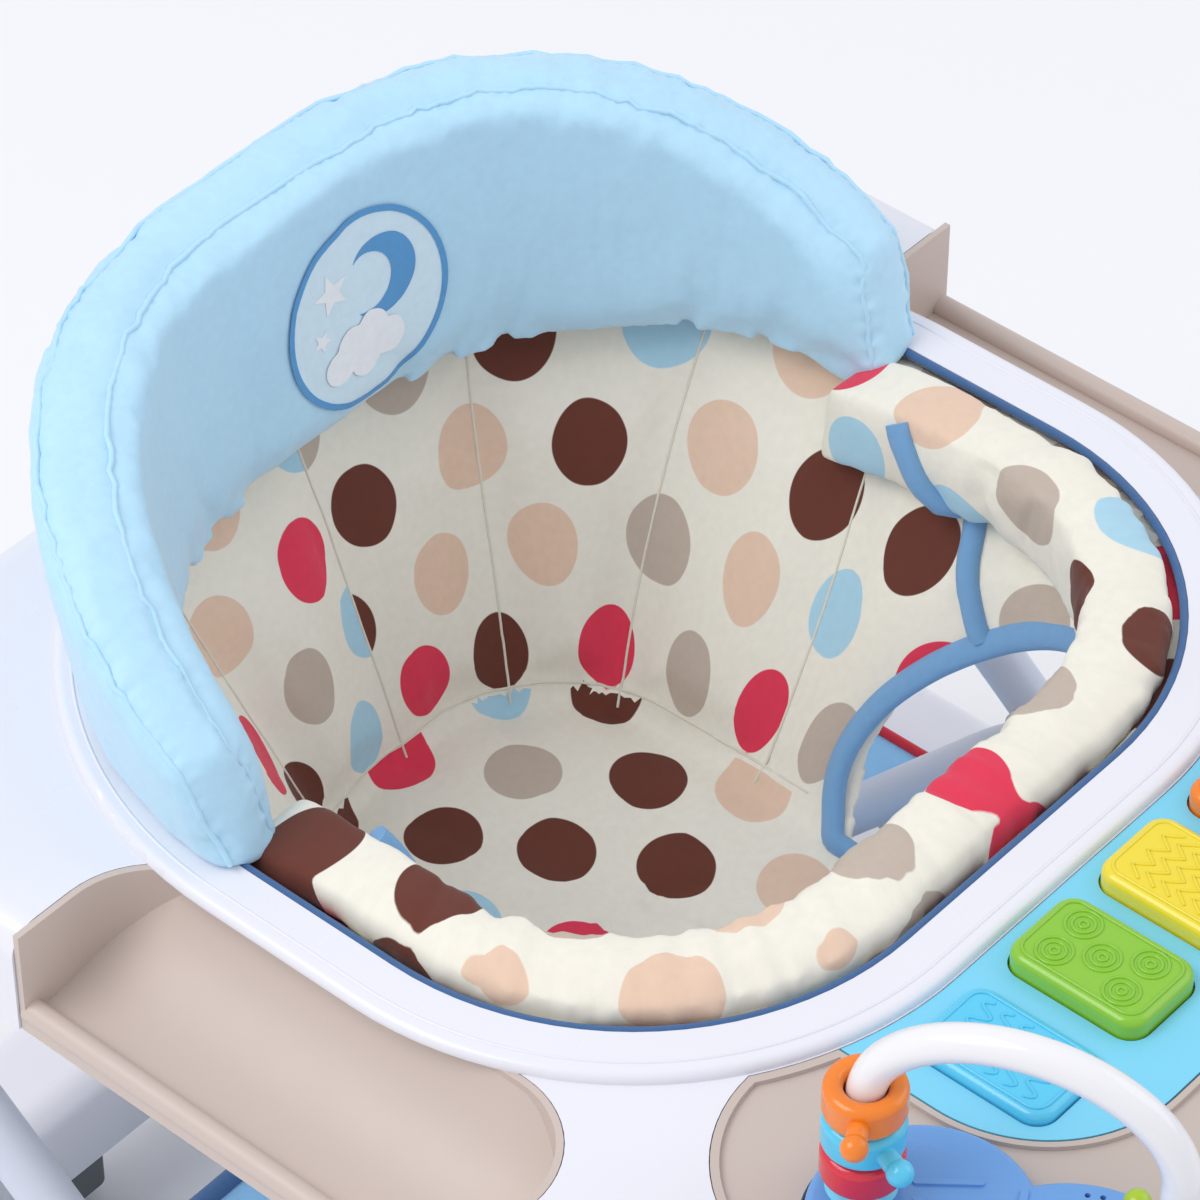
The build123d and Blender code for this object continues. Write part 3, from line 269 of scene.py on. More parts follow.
wheel_plastic = plastic("wheel_blue_plastic", (0.135, 0.330, 0.700), 0.36, 0.12, 0.05)
for number in range(1, 7):
    finish_node(f"castor_wheel_{number}", wheel_plastic)
finish_node("key_board", plastic("board_laminate", (0.02, 0.14, 0.05), 0.45, 0.2, 0.1))
stop_rubber = plastic("stop_rubber", (0.16, 0.165, 0.175), 0.75, 0.4, 0.12)
finish_node("brake_pads", stop_rubber)
finish_node("key_domes", plastic("dome_silicone", (0.62, 0.62, 0.63), 0.55, 0.1, 0.04))

# ---------------------------------------------------------------- tubes and pins
# Steel tube with a light grey-blue powder coat, which has a fine pebble, and zinc-plated rivets.
coat, coat_tree, coat_shader = new_material("tube_powder_coat", (0.62, 0.66, 0.76), 0.38)
pebble = add_node(coat_tree, "ShaderNodeTexVoronoi", Scale=900.0)
coat_place = add_node(coat_tree, "ShaderNodeTexCoord")
link(coat_tree, coat_place, "Object", pebble, "Vector")
coat_bump = add_node(coat_tree, "ShaderNodeBump", Strength=0.10, Distance=0.0003)
link(coat_tree, pebble, "Distance", coat_bump, "Height")
link(coat_tree, coat_bump, "Normal", coat_shader, "Normal")
coat_wear = add_node(coat_tree, "ShaderNodeTexNoise", Scale=28.0, Detail=5.0)
link(coat_tree, coat_place, "Object", coat_wear, "Vector")
coat_range = add_node(coat_tree, "ShaderNodeMapRange")
for socket, value in (("To Min", 0.30), ("To Max", 0.48)):
    coat_range.inputs[socket].default_value = value
link(coat_tree, coat_wear, "Fac", coat_range, "Value")
link(coat_tree, coat_range, "Result", coat_shader, "Roughness")
for name in ("rear_leg_tube", "front_leg_tube"):
    finish_node(name, coat)
zinc, zinc_tree, zinc_shader = new_material("zinc_plate", (0.70, 0.70, 0.70), 0.3, 1.0)
zinc_place = add_node(zinc_tree, "ShaderNodeTexCoord")
zinc_cloud = add_node(zinc_tree, "ShaderNodeTexNoise", Scale=160.0, Detail=6.0)
link(zinc_tree, zinc_place, "Object", zinc_cloud, "Vector")
zinc_range = add_node(zinc_tree, "ShaderNodeMapRange")
for socket, value in (("To Min", 0.22), ("To Max", 0.50)):
    zinc_range.inputs[socket].default_value = value
link(zinc_tree, zinc_cloud, "Fac", zinc_range, "Value")
link(zinc_tree, zinc_range, "Result", zinc_shader, "Roughness")
for name in ("cross_pins", "rear_leg_pins", "front_leg_pins", "tray_screws"):
    finish_node(name, zinc)

# ---------------------------------------------------------------- seat opening line
# The seat's trims all follow the opening: a hull of two front and two rear arcs.
opening_arcs = ((58, 63, 122), (-58, 63, 122), (25, -5, 155), (-25, -5, 155))


def opening(grow, steps=180, first=0.0, last=360.0):
    """Plan points (x, ahead) on the opening, moved outwards; 90 degrees is the front."""
    line = []
    for step in range(steps):
        angle = math.radians(first + (last - first) * step / steps)
        out_x, out_ahead = math.cos(angle), math.sin(angle)
        arc = max(opening_arcs, key=lambda a: a[0] * out_x + a[1] * out_ahead + a[2])
        line.append((arc[0] + (arc[2] + grow) * out_x, arc[1] + (arc[2] + grow) * out_ahead))
    return line


def show(name, mesh, material, body):
    """A finished mesh becomes a piece that rides on a body."""
    piece = bpy.data.objects.new(name, mesh)
    bpy.context.scene.collection.objects.link(piece)
    mesh.materials.clear()
    mesh.materials.append(material)
    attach(piece, body)
    return piece


def cord_mesh(name, lines, radius, closed=False, sides=6):
    """Thin tubes along lists of points, made as one curve and turned into a mesh."""
    curve = bpy.data.curves.new(name, "CURVE")
    curve.dimensions = "3D"
    curve.bevel_depth = radius
    curve.bevel_resolution = sides // 2
    curve.use_fill_caps = True
    curve.resolution_u = 4
    curve.twist_mode = "Z_UP"
    for line in lines:
        spline = curve.splines.new("POLY")
        spline.points.add(len(line) - 1)
        for point, where in zip(spline.points, line):
            point.co = (*where, 1)
        spline.use_cyclic_u = closed
    holder = bpy.data.objects.new(name + "_curve", curve)
    bpy.context.scene.collection.objects.link(holder)
    bpy.context.view_layer.update()
    mesh = bpy.data.meshes.new_from_object(holder.evaluated_get(bpy.context.evaluated_depsgraph_get()))
    bpy.data.objects.remove(holder)
    mesh.name = name
    for face in mesh.polygons:
        face.use_smooth = True
    return mesh


def surface_of(mesh):
    """A search tree of a mesh's faces."""
    return BVHTree.FromPolygons([v.co.copy() for v in mesh.vertices],
                                [tuple(p.vertices) for p in mesh.polygons])


# ---------------------------------------------------------------- woven cloths
# Plain and twill weaves: crossed threads in the bump, a slubby tone, and the fibre's soft sheen.
weave_group, group_in, group_out = new_group(
    "weave",
    [("Vector", "NodeSocketVector", (0, 0, 0)), ("Color", "NodeSocketColor", (1, 1, 1, 1)),
     ("Threads", "NodeSocketFloat", 1400.0), ("Depth", "NodeSocketFloat", 0.3),
     ("Slub", "NodeSocketFloat", 0.12), ("Creases", "NodeSocketFloat", 0.2)],
    [("Color", "NodeSocketColor"), ("Normal", "NodeSocketVector")])
warp = add_node(weave_group, "ShaderNodeTexWave", bands_direction="X", Distortion=0.6)
weft = add_node(weave_group, "ShaderNodeTexWave", bands_direction="Y", Distortion=0.6)
for threads in (warp, weft):
    link(weave_group, group_in, "Vector", threads, "Vector")
    link(weave_group, group_in, "Threads", threads, "Scale")
cross = math_node(weave_group, "MULTIPLY", (warp, "Fac"), (weft, "Fac"))
slub = add_node(weave_group, "ShaderNodeTexNoise", Scale=260.0, Detail=4.0)
cloud = add_node(weave_group, "ShaderNodeTexNoise", Scale=12.0, Detail=2.0)
crumple = add_node(weave_group, "ShaderNodeTexNoise", Scale=26.0, Detail=3.0, Distortion=0.6)
for texture in (slub, cloud, crumple):
    link(weave_group, group_in, "Vector", texture, "Vector")
slub_level = math_node(weave_group, "MULTIPLY_ADD", (slub, "Fac"), (group_in, "Slub"), 0.94)
cloud_level = math_node(weave_group, "MULTIPLY_ADD", (cloud, "Fac"), 0.08, -0.04)
cloth_level = math_node(weave_group, "ADD", (slub_level, "Value"), (cloud_level, "Value"))
cloth_tint = mix_colours(weave_group, "MULTIPLY", 1.0)
link(weave_group, group_in, "Color", cloth_tint, mix_first)
link(weave_group, cloth_level, "Value", cloth_tint, mix_second)
link(weave_group, cloth_tint, mix_result, group_out, "Color")
crease_bump = add_node(weave_group, "ShaderNodeBump", Distance=0.004)
link(weave_group, crumple, "Fac", crease_bump, "Height")
link(weave_group, group_in, "Creases", crease_bump, "Strength")
thread_bump = add_node(weave_group, "ShaderNodeBump", Distance=0.0004)
link(weave_group, cross, "Value", thread_bump, "Height")
link(weave_group, group_in, "Depth", thread_bump, "Strength")
link(weave_group, crease_bump, "Normal", thread_bump, "Normal")
link(weave_group, thread_bump, "Normal", group_out, "Normal")


def cloth(name, colour, roughness=0.85, threads=1400.0, depth=0.3, creases=0.2, sheen=0.25, source="Object"):
    """A cloth material with the shared weave; source is Object coordinates or UV."""
    material, tree, shader = new_material(name, colour, roughness)
    where = tree.nodes.new("ShaderNodeTexCoord")
    woven = tree.nodes.new("ShaderNodeGroup")
    woven.node_tree = weave_group
    woven.inputs["Color"].default_value = (*colour, 1)
    woven.inputs["Threads"].default_value = threads
    woven.inputs["Depth"].default_value = depth
    woven.inputs["Creases"].default_value = creases
    link(tree, where, source, woven, "Vector")
    link(tree, woven, "Color", shader, "Base Color")
    link(tree, woven, "Normal", shader, "Normal")
    shader.inputs["Sheen Weight"].default_value = sheen
    shader.inputs["Sheen Roughness"].default_value = 0.4
    shader.inputs["Specular IOR Level"].default_value = 0.3
    return material, tree, shader, woven


denim_tape, _, _, _ = cloth("denim_tape", (0.070, 0.165, 0.370), 0.85, 2200.0, 0.5, 0.0, 0.2)
sky_tape, _, _, _ = cloth("sky_tape", (0.215, 0.440, 0.740), 0.85, 2000.0, 0.5, 0.0, 0.25)
red_piping, _, _, _ = cloth("red_piping", (0.620, 0.030, 0.055), 0.8, 2200.0, 0.4, 0.0, 0.2)

# ---------------------------------------------------------------- opening's binding
# A thin blue twill cord sewn round the seat's edge, just inside the tray's white rim.
rim_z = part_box("tray_shell")[1].z * 1000
binding = [at(x, ahead, rim_z - 1.2) for x, ahead in opening(-1.4)]
show("rim_binding", cord_mesh("rim_binding", [binding], mm(1.7), closed=True), denim_tape, "tray")
crease = [at(x, ahead, rim_z - 0.25) for x, ahead in opening(13.5)]
show("rim_crease", cord_mesh("rim_crease", [crease], mm(0.7), closed=True), white_plastic, "tray")

# ---------------------------------------------------------------- foot mat
# One plain-woven sheet laid over the base ring's hem line; it dips between the studs.
def copy_of(name):
    """A welded copy of a CAD node's mesh, in a bmesh."""
    shape = bmesh.new()
    shape.from_mesh(nodes[name].data)
    bmesh.ops.remove_doubles(shape, verts=shape.verts, dist=1e-6)
    bmesh.ops.dissolve_limit(shape, angle_limit=math.radians(1), verts=shape.verts, edges=shape.edges)
    return shape


def slice_up(shape, axis, step):
    """Cut a bmesh at even spacings along an axis, to give it points to bend at."""
    low = min(v.co[axis] for v in shape.verts)
    high = max(v.co[axis] for v in shape.verts)
    normal = [0, 0, 0]
    normal[axis] = 1
    for cut in range(1, math.ceil((high - low) / step)):
        place_on = [0, 0, 0]
        place_on[axis] = low + cut * step
        bmesh.ops.bisect_plane(shape, geom=shape.verts[:] + shape.edges[:] + shape.faces[:], dist=1e-7,
                               plane_co=place_on, plane_no=normal)


mat_low, mat_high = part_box("foot_mat")
mat = copy_of("foot_mat")
mat_weave_step, hem_width, dip_run, dip_depth = mm(14), mm(16), mm(150), mm(13)
slice_up(mat, 0, mat_weave_step)
slice_up(mat, 1, mat_weave_step)
for v in mat.verts:
    in_x = clamp((mat_high.x - hem_width - abs(v.co.x)) / dip_run)
    in_front = clamp((v.co.y - mat_low.y - hem_width) / dip_run)
    dip = (in_x * in_x * (3 - 2 * in_x)) * (in_front * in_front * (3 - 2 * in_front))
    ripple = noise.noise((v.co.x * 9, v.co.y * 7, 0.3)) * mm(2.2) * min(in_x, in_front)
    v.co.z += (ripple - dip_depth) * dip
mat_mesh = bpy.data.meshes.new("foot_mat_cloth")
bmesh.ops.triangulate(mat, faces=[f for f in mat.faces if len(f.verts) > 4])
mat.to_mesh(mat_mesh)
mat.free()
for face in mat_mesh.polygons:
    face.use_smooth = True
mat_cloth, _, _, _ = cloth("mat_cloth", (0.270, 0.555, 0.860), 0.9, 1500.0, 0.35, 0.15)
mat_piece = show("foot_mat_cloth", mat_mesh, mat_cloth, "base")
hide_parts("foot_mat")
mat_skin = surface_of(mat_mesh)


def laid_on_mat(x, y, lift):
    """A point on the mat's upper face."""
    hit = mat_skin.ray_cast(Vector((x, y, 1)), Vector((0, 0, -1)))[0]
    return Vector((x, y, (hit.z if hit else mat_high.z) + lift))


rear_hem = [laid_on_mat(x * mat_high.x * 0.992, mat_high.y - mm(3.5), mm(0.4))
            for x in [i / 30 - 1 for i in range(61)]]
show("mat_rear_hem", cord_mesh("mat_rear_hem", [rear_hem], mm(4.2)), denim_tape, "base")
side_hems = []
for side in (-1, 1):
    side_hems.append([laid_on_mat(side * (mat_high.x - mm(3)), mat_high.y - mm(6) - mm(10) * i, mm(0.5))
                      for i in range(32)])
show("mat_side_piping", cord_mesh("mat_side_piping", side_hems, mm(2.4)), red_piping, "base")

# ---------------------------------------------------------------- padded backrest
# A boxed satin cushion in three panels, stuffed with fibre and slipped over the backrest board.
pad_low, pad_rise_end, pad_rise_back, pad_thick, pad_lean = 0.8, 45, 118, 33, math.tan(math.radians(8))
pad_crown, pad_inset, pad_taper = 40, 24.5, 18
pad_hang = 15     # how far the inner face's lower edge hangs below the seat's rim
pad_path = [Vector((-180, 5 - i * 2.5, 0)) for i in range(4)]
pad_path += [Vector((x, ahead, 0)) for x, ahead in opening(0, 160, 180.5, 359.5)]
pad_path += [Vector((180, -5 + 2.5 * i, 0)) for i in range(1, 5)]
pad_reach = [0.0]
for before, after in zip(pad_path, pad_path[1:]):
    pad_reach.append(pad_reach[-1] + (after - before).length)


def pad_point(along, up, through):
    """A point of the pad: along its length, up its height and from its inner to its outer face, 0 to 1."""
    slant = pad_taper * up
    reach = slant + along * (pad_reach[-1] - 2 * slant)
    index = min(max(i for i, r in enumerate(pad_reach) if r <= reach + 1e-6), len(pad_path) - 2)
    share = (reach - pad_reach[index]) / (pad_reach[index + 1] - pad_reach[index])
    base = pad_path[index].lerp(pad_path[index + 1], share)
    tangent = (pad_path[index + 1] - pad_path[index]).normalized()
    outward = Vector((tangent.y, -tangent.x, 0))
    if outward.dot(base - Vector((0, 20, 0))) < 0:
        outward = -outward
    climb = clamp((-13 - base.y) / 152)
    top = pad_rise_end + (pad_rise_back - pad_rise_end) * climb + pad_crown * climb * (1 - climb)
    height = pad_low + up * (top - pad_low)
    height -= pad_hang * (1 - up) * max(0.0, 1 - through / 0.6)
    base = base + outward * (through * pad_thick + height * pad_lean - pad_inset)
    return at(base.x, base.y, rim_z + height)


def block(cuts_along, cuts_up, cuts_through, place_at):
    """A cube cut into strips and bent into a shape, each corner going where place_at sends it."""
    shape = bmesh.new()
    bmesh.ops.create_cube(shape, size=1.0, matrix=Matrix.Translation((0.5, 0.5, 0.5)))
    for axis, cuts in enumerate((cuts_along, cuts_up, cuts_through)):
        for cut in range(1, cuts):
            on, normal = [0, 0, 0], [0, 0, 0]
            on[axis], normal[axis] = cut / cuts, 1
            bmesh.ops.bisect_plane(shape, geom=shape.verts[:] + shape.edges[:] + shape.faces[:],
                                   dist=1e-6, plane_co=on, plane_no=normal)
    for v in shape.verts:
        v.co = place_at(*v.co)
    bmesh.ops.recalc_face_normals(shape, faces=shape.faces)
    return shape


air_frames = 20     # how long the air blows before the limit on travel is applied


def swell(name, shape, voxel, cap, pressure):
    """Stuff a closed form: an even skin, air pressure in a cloth simulation, a limit on each point's travel."""
    mesh = bpy.data.meshes.new(name)
    shape.to_mesh(mesh)
    shape.free()
    holder = bpy.data.objects.new(name + "_form", mesh)
    bpy.context.scene.collection.objects.link(holder)
    even = holder.modifiers.new("even", "REMESH")
    even.mode = "VOXEL"
    even.voxel_size = voxel
    graph = bpy.context.evaluated_depsgraph_get()
    skin = bpy.data.meshes.new_from_object(holder.evaluated_get(graph))
    holder.modifiers.clear()
    holder.data = skin
    rest = [v.co.copy() for v in skin.vertices]
    air = holder.modifiers.new("air", "CLOTH")
    air.settings.use_pressure = True
    air.settings.uniform_pressure_force = pressure
    air.settings.effector_weights.gravity = 0
    air.settings.quality = 5
    air.point_cache.frame_start = 1
    air.point_cache.frame_end = air_frames
    for step in range(1, air_frames + 1):
        bpy.context.scene.frame_set(step)
    graph = bpy.context.evaluated_depsgraph_get()
    blown = bpy.data.meshes.new_from_object(holder.evaluated_get(graph))
    holder.modifiers.clear()
    for v, start, end in zip(skin.vertices, rest, blown.vertices):
        move = end.co - start
        v.co = start + move * min(1.0, cap / max(move.length, 1e-9))
    bpy.context.scene.frame_set(1)
    smooth = holder.modifiers.new("smooth", "SUBSURF")
    smooth.levels = smooth.render_levels = 1
    graph = bpy.context.evaluated_depsgraph_get()
    done = bpy.data.meshes.new_from_object(holder.evaluated_get(graph))
    bpy.data.objects.remove(holder)
    done.name = name
    for face in done.polygons:
        face.use_smooth = True
    return done


def sew(mesh, lines, depth, width):
    """Pull a stuffed surface in along seam lines; returns the lines laid on the new surface."""
    skin = surface_of(mesh)
    near = [[skin.find_nearest(p)[0] for p in line] for line in lines]
    stitches = KDTree(sum(len(line) for line in near))
    for index, p in enumerate(p for line in near for p in line):
        stitches.insert(p, index)
    stitches.balance()
    normals = [v.normal.copy() for v in mesh.vertices]
    for v, normal in zip(mesh.vertices, normals):
        gap = stitches.find(v.co)[2]
        if gap < 3 * width:
            v.co -= normal * depth * math.exp(-((gap / width) ** 2))
    mesh.update()
    skin = surface_of(mesh)
    return [[skin.find_nearest(p)[0] for p in line] for line in near]


pad_form = block(64, 12, 4, lambda a, u, t: pad_point(0.004 + 0.992 * a, 0.02 + 0.955 * u, 0.06 + 0.88 * t))
pad_mesh = swell("backrest_cushion", pad_form, mm(4.5), mm(6), 4.5)
pad_seams = []
for through in (0.0, 1.0):
    line = [pad_point(0, u / 8, through) for u in range(8)]
    line += [pad_point(a / 120, 1, through) for a in range(121)]
    line += [pad_point(1, 1 - u / 8, through) for u in range(1, 9)]
    pad_seams.append(line)
for share in (0.36, 0.64):
    pad_seams.append([pad_point(share, 1 - u / 12, 1) for u in range(13)])
laid_seams = sew(pad_mesh, pad_seams, mm(2.6), mm(4.5))
pad_normals = [v.normal.copy() for v in pad_mesh.vertices]
for v, normal in zip(pad_mesh.vertices, pad_normals):
    around = math.atan2(v.co.x, v.co.y - mm(seat_back))
    fold = noise.noise((around * 9, v.co.z * 7, 0.2)) * 0.7 + noise.noise((around * 25, v.co.z * 18, 3.1)) * 0.3
    v.co += normal * fold * mm(1.3)
pad_mesh.update()
satin, _, satin_shader, _ = cloth("satin_cloth", (0.470, 0.745, 0.930), 0.46, 2600.0, 0.12, 0.28, 0.35)
satin_shader.inputs["Specular IOR Level"].default_value = 0.5
pad_piece = show("backrest_cushion", pad_mesh, satin, "tray")
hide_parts("backrest_pad", "backrest_board")
show("backrest_welt", cord_mesh("backrest_welt", laid_seams[:2], mm(1.1)), satin, "tray")

# ---------------------------------------------------------------- printed cotton
# Cream cotton with large staggered dots in five colours.
dot_group, group_in, group_out = new_group(
    "dot_print",
    [("Vector", "NodeSocketVector", (0, 0, 0)), ("Radius", "NodeSocketFloat", 0.0150)],
    [("Color", "NodeSocketColor")])
pitch_across, pitch_down = 0.0500, 0.0375
split_uv = add_node(dot_group, "ShaderNodeSeparateXYZ")
link(dot_group, group_in, "Vector", split_uv, "Vector")
down = math_node(dot_group, "DIVIDE", (split_uv, "Y"), pitch_down)
row = math_node(dot_group, "FLOOR", (down, "Value"))
odd = math_node(dot_group, "MODULO", (row, "Value"), 2.0)
odd_size = math_node(dot_group, "ABSOLUTE", (odd, "Value"))
across = math_node(dot_group, "DIVIDE", (split_uv, "X"), pitch_across)
shifted = math_node(dot_group, "MULTIPLY_ADD", (odd_size, "Value"), 0.5, (across, "Value"))
column = math_node(dot_group, "FLOOR", (shifted, "Value"))
cell = add_node(dot_group, "ShaderNodeCombineXYZ")
link(dot_group, column, "Value", cell, "X")
link(dot_group, row, "Value", cell, "Y")
chance = add_node(dot_group, "ShaderNodeTexWhiteNoise", noise_dimensions="2D")
link(dot_group, cell, "Vector", chance, "Vector")
chance_split = add_node(dot_group, "ShaderNodeSeparateColor")
link(dot_group, chance, "Color", chance_split, "Color")
in_x = math_node(dot_group, "SUBTRACT", (shifted, "Value"), (column, "Value"))
in_y = math_node(dot_group, "SUBTRACT", (down, "Value"), (row, "Value"))
jitter_x = math_node(dot_group, "MULTIPLY_ADD", (chance_split, "Red"), 0.16, 0.42)
jitter_y = math_node(dot_group, "MULTIPLY_ADD", (chance_split, "Green"), 0.12, 0.44)
off_x = math_node(dot_group, "SUBTRACT", (in_x, "Value"), (jitter_x, "Value"))
off_y = math_node(dot_group, "SUBTRACT", (in_y, "Value"), (jitter_y, "Value"))
real_x = math_node(dot_group, "MULTIPLY", (off_x, "Value"), pitch_across)
real_y = math_node(dot_group, "MULTIPLY", (off_y, "Value"), pitch_down)
square_x = math_node(dot_group, "MULTIPLY", (real_x, "Value"), (real_x, "Value"))
square_sum = math_node(dot_group, "MULTIPLY_ADD", (real_y, "Value"), (real_y, "Value"), (square_x, "Value"))
far = math_node(dot_group, "SQRT", (square_sum, "Value"))
edge = math_node(dot_group, "SUBTRACT", (group_in, "Radius"), (far, "Value"))
dot = math_node(dot_group, "MULTIPLY_ADD", (edge, "Value"), 2500.0, 0.5)
dot.use_clamp = True
inks = add_node(dot_group, "ShaderNodeValToRGB")
inks.color_ramp.interpolation = "CONSTANT"
ink_list = [(0.000, (0.760, 0.045, 0.095)), (0.210, (0.540, 0.450, 0.375)), (0.400, (0.800, 0.580, 0.440)),
            (0.590, (0.420, 0.665, 0.800)), (0.780, (0.140, 0.040, 0.026))]
inks.color_ramp.elements.remove(inks.color_ramp.elements[1])
for index, (stop, ink) in enumerate(ink_list):
    element = inks.color_ramp.elements[0] if index == 0 else inks.color_ramp.elements.new(stop)
    element.position = stop
    element.color = (*ink, 1)
link(dot_group, chance, "Value", inks, "Fac")
printed = mix_colours(dot_group, first=(0.865, 0.825, 0.720))
link(dot_group, dot, "Value", printed, mix_factor)
link(dot_group, inks, "Color", printed, mix_second)
link(dot_group, printed, mix_result, group_out, "Color")
dot_cotton, dot_tree, _, dot_weave = cloth("dot_cotton", (0.85, 0.81, 0.71), 0.9, 1500.0, 0.22,
                                           0.22, 0.2, "UV")
dots = dot_tree.nodes.new("ShaderNodeGroup")
dots.node_tree = dot_group
dot_uv = add_node(dot_tree, "ShaderNodeTexCoord")
link(dot_tree, dot_uv, "UV", dots, "Vector")
link(dot_tree, dots, "Color", dot_weave, "Color")


def lay_print(mesh, flat_below, outward=0.0, shift=(0, 0)):
    """Lay the print on a cloth: flat below a height, wrapped round above it, running on outward, in metres."""
    uv = mesh.uv_layers.new(name="print")
    centre = Vector((0, mm(85), 0))
    for face in mesh.polygons:
        level_face = face.center.z < flat_below
        middle = face.center - centre
        turn = math.atan2(middle.x, -middle.y)
        for corner in face.loop_indices:
            spot = mesh.vertices[mesh.loops[corner].vertex_index].co - centre
            if level_face:
                uv.data[corner].uv = (spot.x + shift[0], spot.y + shift[1] + 0.7)
            else:
                angle = math.atan2(spot.x, -spot.y)
                if angle - turn > math.pi:
                    angle -= 2 * math.pi
                elif angle - turn < -math.pi:
                    angle += 2 * math.pi
                uv.data[corner].uv = (angle * 0.150 + shift[0], spot.z + outward * spot.xy.length + shift[1])


# ---------------------------------------------------------------- seat bucket
# Quilted cotton hung from the rim: a back panel, two sides and a front, sewn to a crotch piece.
bucket = copy_of("seat")
for axis in (0, 1, 2):
    slice_up(bucket, axis, mm(6))
bmesh.ops.triangulate(bucket, faces=[f for f in bucket.faces if len(f.verts) > 4])
seat_low, seat_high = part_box("seat")
held = mm(10)
for _ in range(9):
    free = [v for v in bucket.verts if v.co.z < seat_high.z - held]
    bmesh.ops.smooth_vert(bucket, verts=free, factor=0.5, use_axis_x=True, use_axis_y=True, use_axis_z=True)
bucket_mesh = bpy.data.meshes.new("seat_bucket")
bucket.to_mesh(bucket_mesh)
bucket.free()
bucket_mesh.update()
bucket_skin = surface_of(bucket_mesh)


def on_wall(turn, z):
    """A point on the bucket's inner face, at a heading round the seat's centre (0 is the front)."""
    heading = Vector((math.sin(turn), -math.cos(turn), 0))
    hit = bucket_skin.ray_cast(Vector((0, mm(seat_back), z)), heading)[0]
    return hit if hit else None


def wall_line(turns, heights, count=40):
    """A seam over the wall, between two headings and two heights."""
    line = []
    for i in range(count + 1):
        share = i / count
        hit = on_wall(math.radians(turns[0] + (turns[1] - turns[0]) * share),
                      heights[0] + (heights[1] - heights[0]) * share)
        if hit:
            line.append(hit)
    return line


stitch_thread, _, _, _ = cloth("quilt_thread", (0.76, 0.72, 0.62), 0.8, 2600.0, 0.2, 0.0, 0.1)
low, high = seat_low.z + mm(10), seat_high.z - mm(6)
quilt = [wall_line((t, t * 0.93 + 12), (high, low)) for t in (150, 180, 212)]
quilt += [wall_line((92, 84), (high, low)), wall_line((268, 276), (high, low))]
quilt += [wall_line((118, 128), (high, low)), wall_line((242, 232), (high, low))]
quilt = [line for line in quilt if len(line) > 4]
ring = []
for i in range(121):
    hit = on_wall(math.radians(70 + 220 * i / 120), seat_low.z + mm(16))
    if hit:
        ring.append(hit)
quilt.append(ring)
hole_reach, hole_turn, hole_z = 56, math.radians(47), 308
seams = KDTree(sum(len(line) for line in quilt))
for index, p in enumerate(p for line in quilt for p in line):
    seams.insert(p, index)
seams.balance()
puff_height, seam_width, floor_band = mm(7.5), mm(15), mm(14)
for v in bucket_mesh.vertices:
    if v.co.z < seat_high.z - held:
        around = math.atan2(v.co.x, v.co.y - mm(seat_back))
        ripple = noise.noise((around * 5, v.co.z * 16, 1.7))
        ripple += 0.5 * noise.noise((around * 14, v.co.z * 40, 5.2))
        away = Vector((math.sin(around), math.cos(around), 0))
        hole_axis = Vector((math.copysign(math.sin(hole_turn), v.co.x), -math.cos(hole_turn), 0))
        from_hole = v.co - at(0, 20, hole_z)
        off_axis = (from_hole - hole_axis * from_hole.dot(hole_axis)).length
        beside_hole = clamp((off_axis - mm(hole_reach + 2)) / mm(22))
        below_rim = min(1.0, (seat_high.z - held - v.co.z) / mm(28))
        puff = puff_height * (1 - math.exp(-(seams.find(v.co)[2] / seam_width) ** 2)) * beside_hole * below_rim
        if v.co.z < seat_low.z + floor_band:
            v.co.z += puff * 0.8 + ripple * mm(2)
        else:
            v.co += away * (ripple * mm(2.4) * below_rim - puff)
bucket_mesh.update()
for face in bucket_mesh.polygons:
    face.use_smooth = True
lay_print(bucket_mesh, seat_low.z + floor_band)
bucket_piece = show("seat_bucket", bucket_mesh, dot_cotton, "tray")
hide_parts("seat")
sewn_skin = surface_of(bucket_mesh)
quilt_lines = [[sewn_skin.find_nearest(p)[0] for p in line] for line in quilt]
show("quilt_stitching", cord_mesh("quilt_stitching", quilt_lines, mm(0.55)), stitch_thread, "tray")

# ---------------------------------------------------------------- seat roll
# The stuffed roll round the opening's front and sides, in the same print, gathered by its seams.
roll = copy_of("seat_roll")
bmesh.ops.triangulate(roll, faces=roll.faces)
roll_mesh = swell("seat_roll_stuffed", roll, mm(4.5), mm(6), 4.0)
roll_skin = surface_of(roll_mesh)
roll_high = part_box("seat_roll")[1]
gathers = []
for turn, span in ((-62, 26), (-38, 30), (-12, 22), (14, 30), (40, 24), (66, 28)):
    heading = Vector((math.sin(math.radians(turn)), -math.cos(math.radians(turn)), 0))
    side = Vector((heading.y, -heading.x, 0))
    line = []
    for i in range(12):
        start = Vector((0, mm(seat_back), roll_high.z - mm(4) - mm(span) * i / 11))
        start += side * mm(1.2) * math.sin(i)
        hit = roll_skin.ray_cast(start, heading)[0]
        if hit:
            line.append(hit)
    if len(line) > 3:
        gathers.append(line)
sew(roll_mesh, gathers, mm(2.8), mm(4.5))
roll_normals = [v.normal.copy() for v in roll_mesh.vertices]
for v, normal in zip(roll_mesh.vertices, roll_normals):
    around = math.atan2(v.co.x, v.co.y - mm(seat_back))
    pucker = noise.noise((around * 16, v.co.z * 22, 8.4)) + 0.5 * noise.noise((around * 38, v.co.z * 46, 2.2))
    v.co += normal * pucker * mm(1.6)
    tuck = clamp((v.co.y - roll_high.y + mm(30)) / mm(30))
    v.co.y += mm(24) * tuck
    v.co.z -= mm(8) * tuck * tuck
roll_mesh.update()
sewn_roll = surface_of(roll_mesh)
lay_print(roll_mesh, 0.0, 0.8, (0.013, 0.011))
